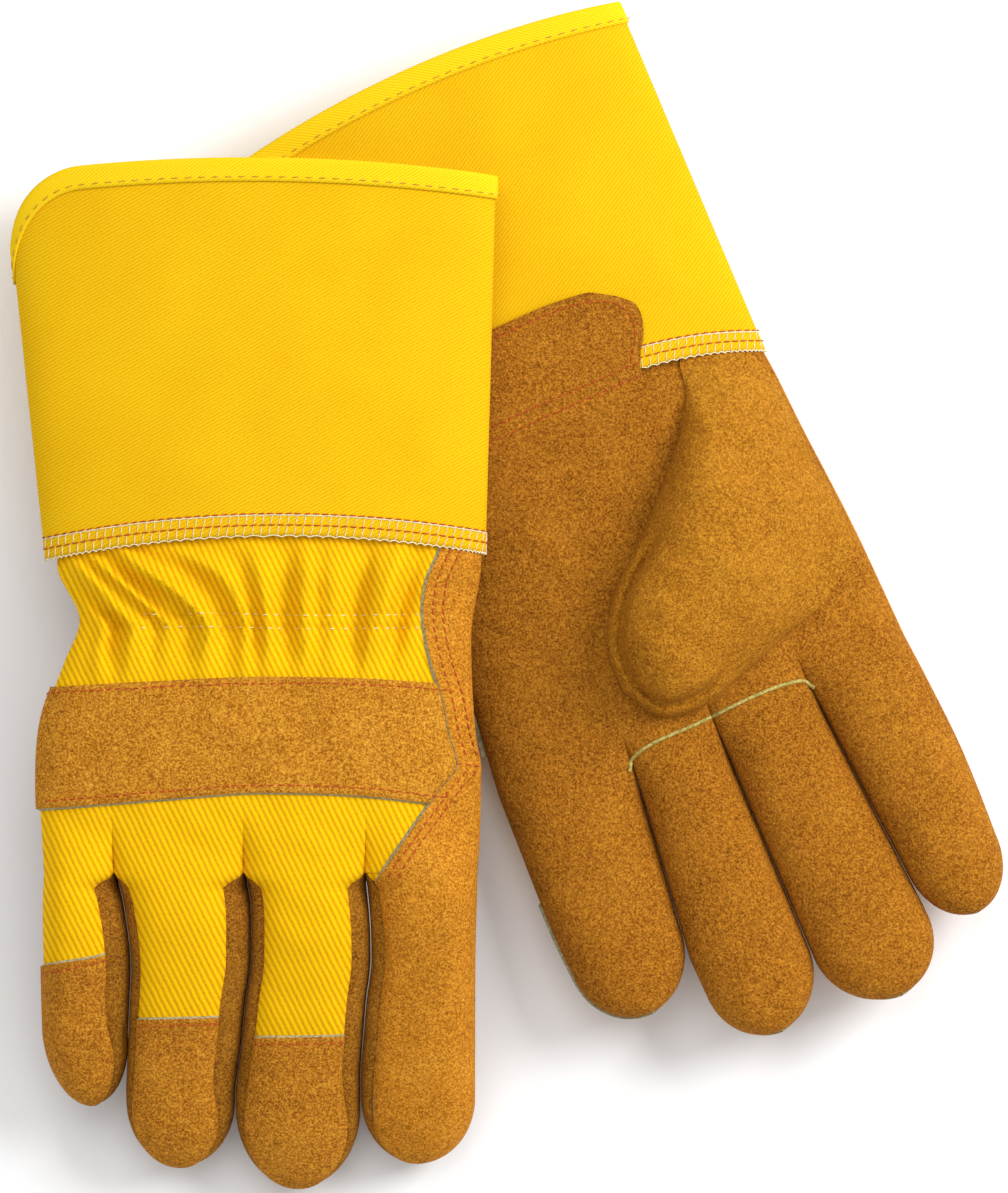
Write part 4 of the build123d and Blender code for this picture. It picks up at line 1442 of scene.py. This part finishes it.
for side in SIDES:
    full = np.linspace(0, 1, 361)
    sx, sz = cuff_round(full)
    tape_row = tape_y(side, sx) + 1.3 + 0.6 * np.maximum(0, -sx) ** 6
    row = [cuff_row(full, tape_row, 0.85)]
    piece = grow(f"{side}_binding_stitches", side, STITCH_ROW, row, Step=0.0040, Length=0.0024,
                 Width=0.00038, Lean=0.05, Seed=6, Thread=THREAD["tan"])  # fmt: skip
    fasten(piece, side, "hand", "binding_tape")
    rows = []
    for above in (6.6, 3.2):
        rows += keep_clear(*cuff_row(full, seam_y(sx, sz) + above, 0.15))
    piece = grow(f"{side}_seam_stitches", side, STITCH_ROW, rows, Step=0.0027, Length=0.0024, Width=0.00045,
                 Lean=0.06, Seed=7, Thread=THREAD["red"])  # fmt: skip
    fasten(piece, side, "hand", "overlock_thread")
    # The overlock's rungs cross the band above and below the middle row, and its loops scallop the raw edge.
    rungs = []
    for above in (4.9, 1.6):
        rungs += keep_clear(*cuff_row(full, seam_y(sx, sz) + above, 0.1))
    piece = grow(f"{side}_overlock_rungs", side, STITCH_ROW, rungs, Step=0.0025, Length=0.0034, Width=0.00027,
                 Lean=math.radians(78), Seed=8, Thread=THREAD["white"])  # fmt: skip
    fasten(piece, side, "hand", "overlock_thread", "cuff_overlock")
    fine = np.linspace(0, 1, 2400)
    fx, fz = cuff_round(fine)
    loops = []
    for above, reach, thick in ((0.15, 0.5, 0.15), (6.2, 0.15, 0.1)):
        edge = seam_y(fx, fz) + above + reach * np.abs(np.sin(math.pi * 116 * fine)) - reach
        loops += keep_clear(*cuff_row(fine, edge, thick))
    piece = grow(
        f"{side}_overlock_loops", side, STRAND, loops, Radius=0.00018, Sides=6, Thread=THREAD["white"]
    )
    fasten(piece, side, "hand", "overlock_thread")
print("overlock points:", len(piece.data.vertices))

# %% [markdown]
# ## The welt at the fingers' root, and the patch's seams
#
# A short strip of leather is let in where the ring and middle fingers' fronts join the palm, and its raw
# edge shows pale. Three rows of stitches hold the patch: one inside its rounded edge, and two across its
# foot.

# %% Finger welt and the patch's stitches
for side in SIDES:
    on_palm = partial(hand_height, side, "palm")
    low, high = BETWEEN[side][0][0][1], BETWEEN[side][2][0][1]
    line = [(low - 2.0, -101.0), (low + 0.5, -97.8), (low + 5, -96.4), (0, -96.2), (high - 6, -96.5),
            (high - 1, -98.0), (high + 1.0, -101.0)]  # fmt: skip
    piece = grow(f"{side}_finger_welt_strip", side, STRAND, [drop(on_palm, -1, line, 0.1)], Radius=0.00055,
                 Sides=10, Thread=WELT)  # fmt: skip
    fasten(piece, side, "hand", "split_leather", "finger_welt")
    top = [(-46, 31), (-40, 34.0), (-4, 34.6), (18, 33.8), (26, 31.7), (31.5, 28), (33.2, 23),
           (31.8, 17.5), (27.5, 11)]  # fmt: skip
    lines = [top, [(-48, 9.6), (-10, 10.6), (29, 10.0)], [(-48, 6.0), (-10, 6.6), (28, 6.2)]]
    edge_rows = [drop(partial(patch_height, side), -1, line, 0.1) for line in lines]
    piece = grow(f"{side}_patch_stitches", side, STITCH_ROW, edge_rows, Step=0.0027, Length=0.0021,
                 Width=0.00046, Lean=0.1, Seed=8, Thread=THREAD["red"])  # fmt: skip
    fasten(piece, side, "hand", "overlock_thread")
print("welt and patch sewn")

# %% [markdown]
# ## Floor, light and camera
#
# The pair lies on a plain pale floor under broad soft lights, so that the nap and the ribs read by their
# own relief and no hard shadow competes with them. The camera looks straight down through a long lens,
# which keeps the two gloves' proportions true.

# %% Floor
floor_mesh = bpy.data.meshes.new("floor")
reach = 3.0
floor_mesh.from_pydata(
    [(-reach, -reach, 0), (reach, -reach, 0), (reach, reach, 0), (-reach, reach, 0)], [], [(0, 1, 2, 3)]
)
floor = bpy.data.objects.new("floor", floor_mesh)
bpy.context.scene.collection.objects.link(floor)
paper, tree, shader = new_material("white_paper")
shader.inputs["Base Color"].default_value = (0.93, 0.93, 0.93, 1)
shader.inputs["Roughness"].default_value = 1.0
shader.inputs["Specular IOR Level"].default_value = 0.0
floor_mesh.materials.append(paper)

# %% Lights
world = bpy.data.worlds.new("studio")
bpy.context.scene.world = world
world.use_nodes = True
world.node_tree.nodes["Background"].inputs["Color"].default_value = (1, 1, 1, 1)
world.node_tree.nodes["Background"].inputs["Strength"].default_value = 0.68


def softbox(name, place, aim, size, power):
    """A square area light that faces a point."""
    light = bpy.data.lights.new(name, "AREA")
    light.shape, light.size, light.energy = "SQUARE", size, power
    lamp = bpy.data.objects.new(name, light)
    lamp.location = place
    lamp.rotation_euler = (Vector(aim) - Vector(place)).to_track_quat("-Z", "Y").to_euler()
    bpy.context.scene.collection.objects.link(lamp)


softbox("key_light", (1.05, 0.5, 0.95), (0, 0, 0), 0.7, 19)
softbox("fill_light", (-0.2, 0.6, 1.4), (0, 0, 0), 1.0, 6)

# %% Camera
FRAME_HEIGHT, FRAME_CENTRE, CAMERA_HEIGHT, GLOVE_HEIGHT = 0.3579, (-0.0032, -0.0006), 3.2, 0.035
camera_data = bpy.data.cameras.new("camera")
camera_data.sensor_width = 36
camera_data.lens = camera_data.sensor_width * (CAMERA_HEIGHT - GLOVE_HEIGHT) / FRAME_HEIGHT
camera_data.clip_end = 20
camera = bpy.data.objects.new("camera", camera_data)
camera.location = (*FRAME_CENTRE, CAMERA_HEIGHT)
bpy.context.scene.collection.objects.link(camera)
bpy.context.scene.camera = camera
bpy.context.scene.view_settings.view_transform = "Standard"
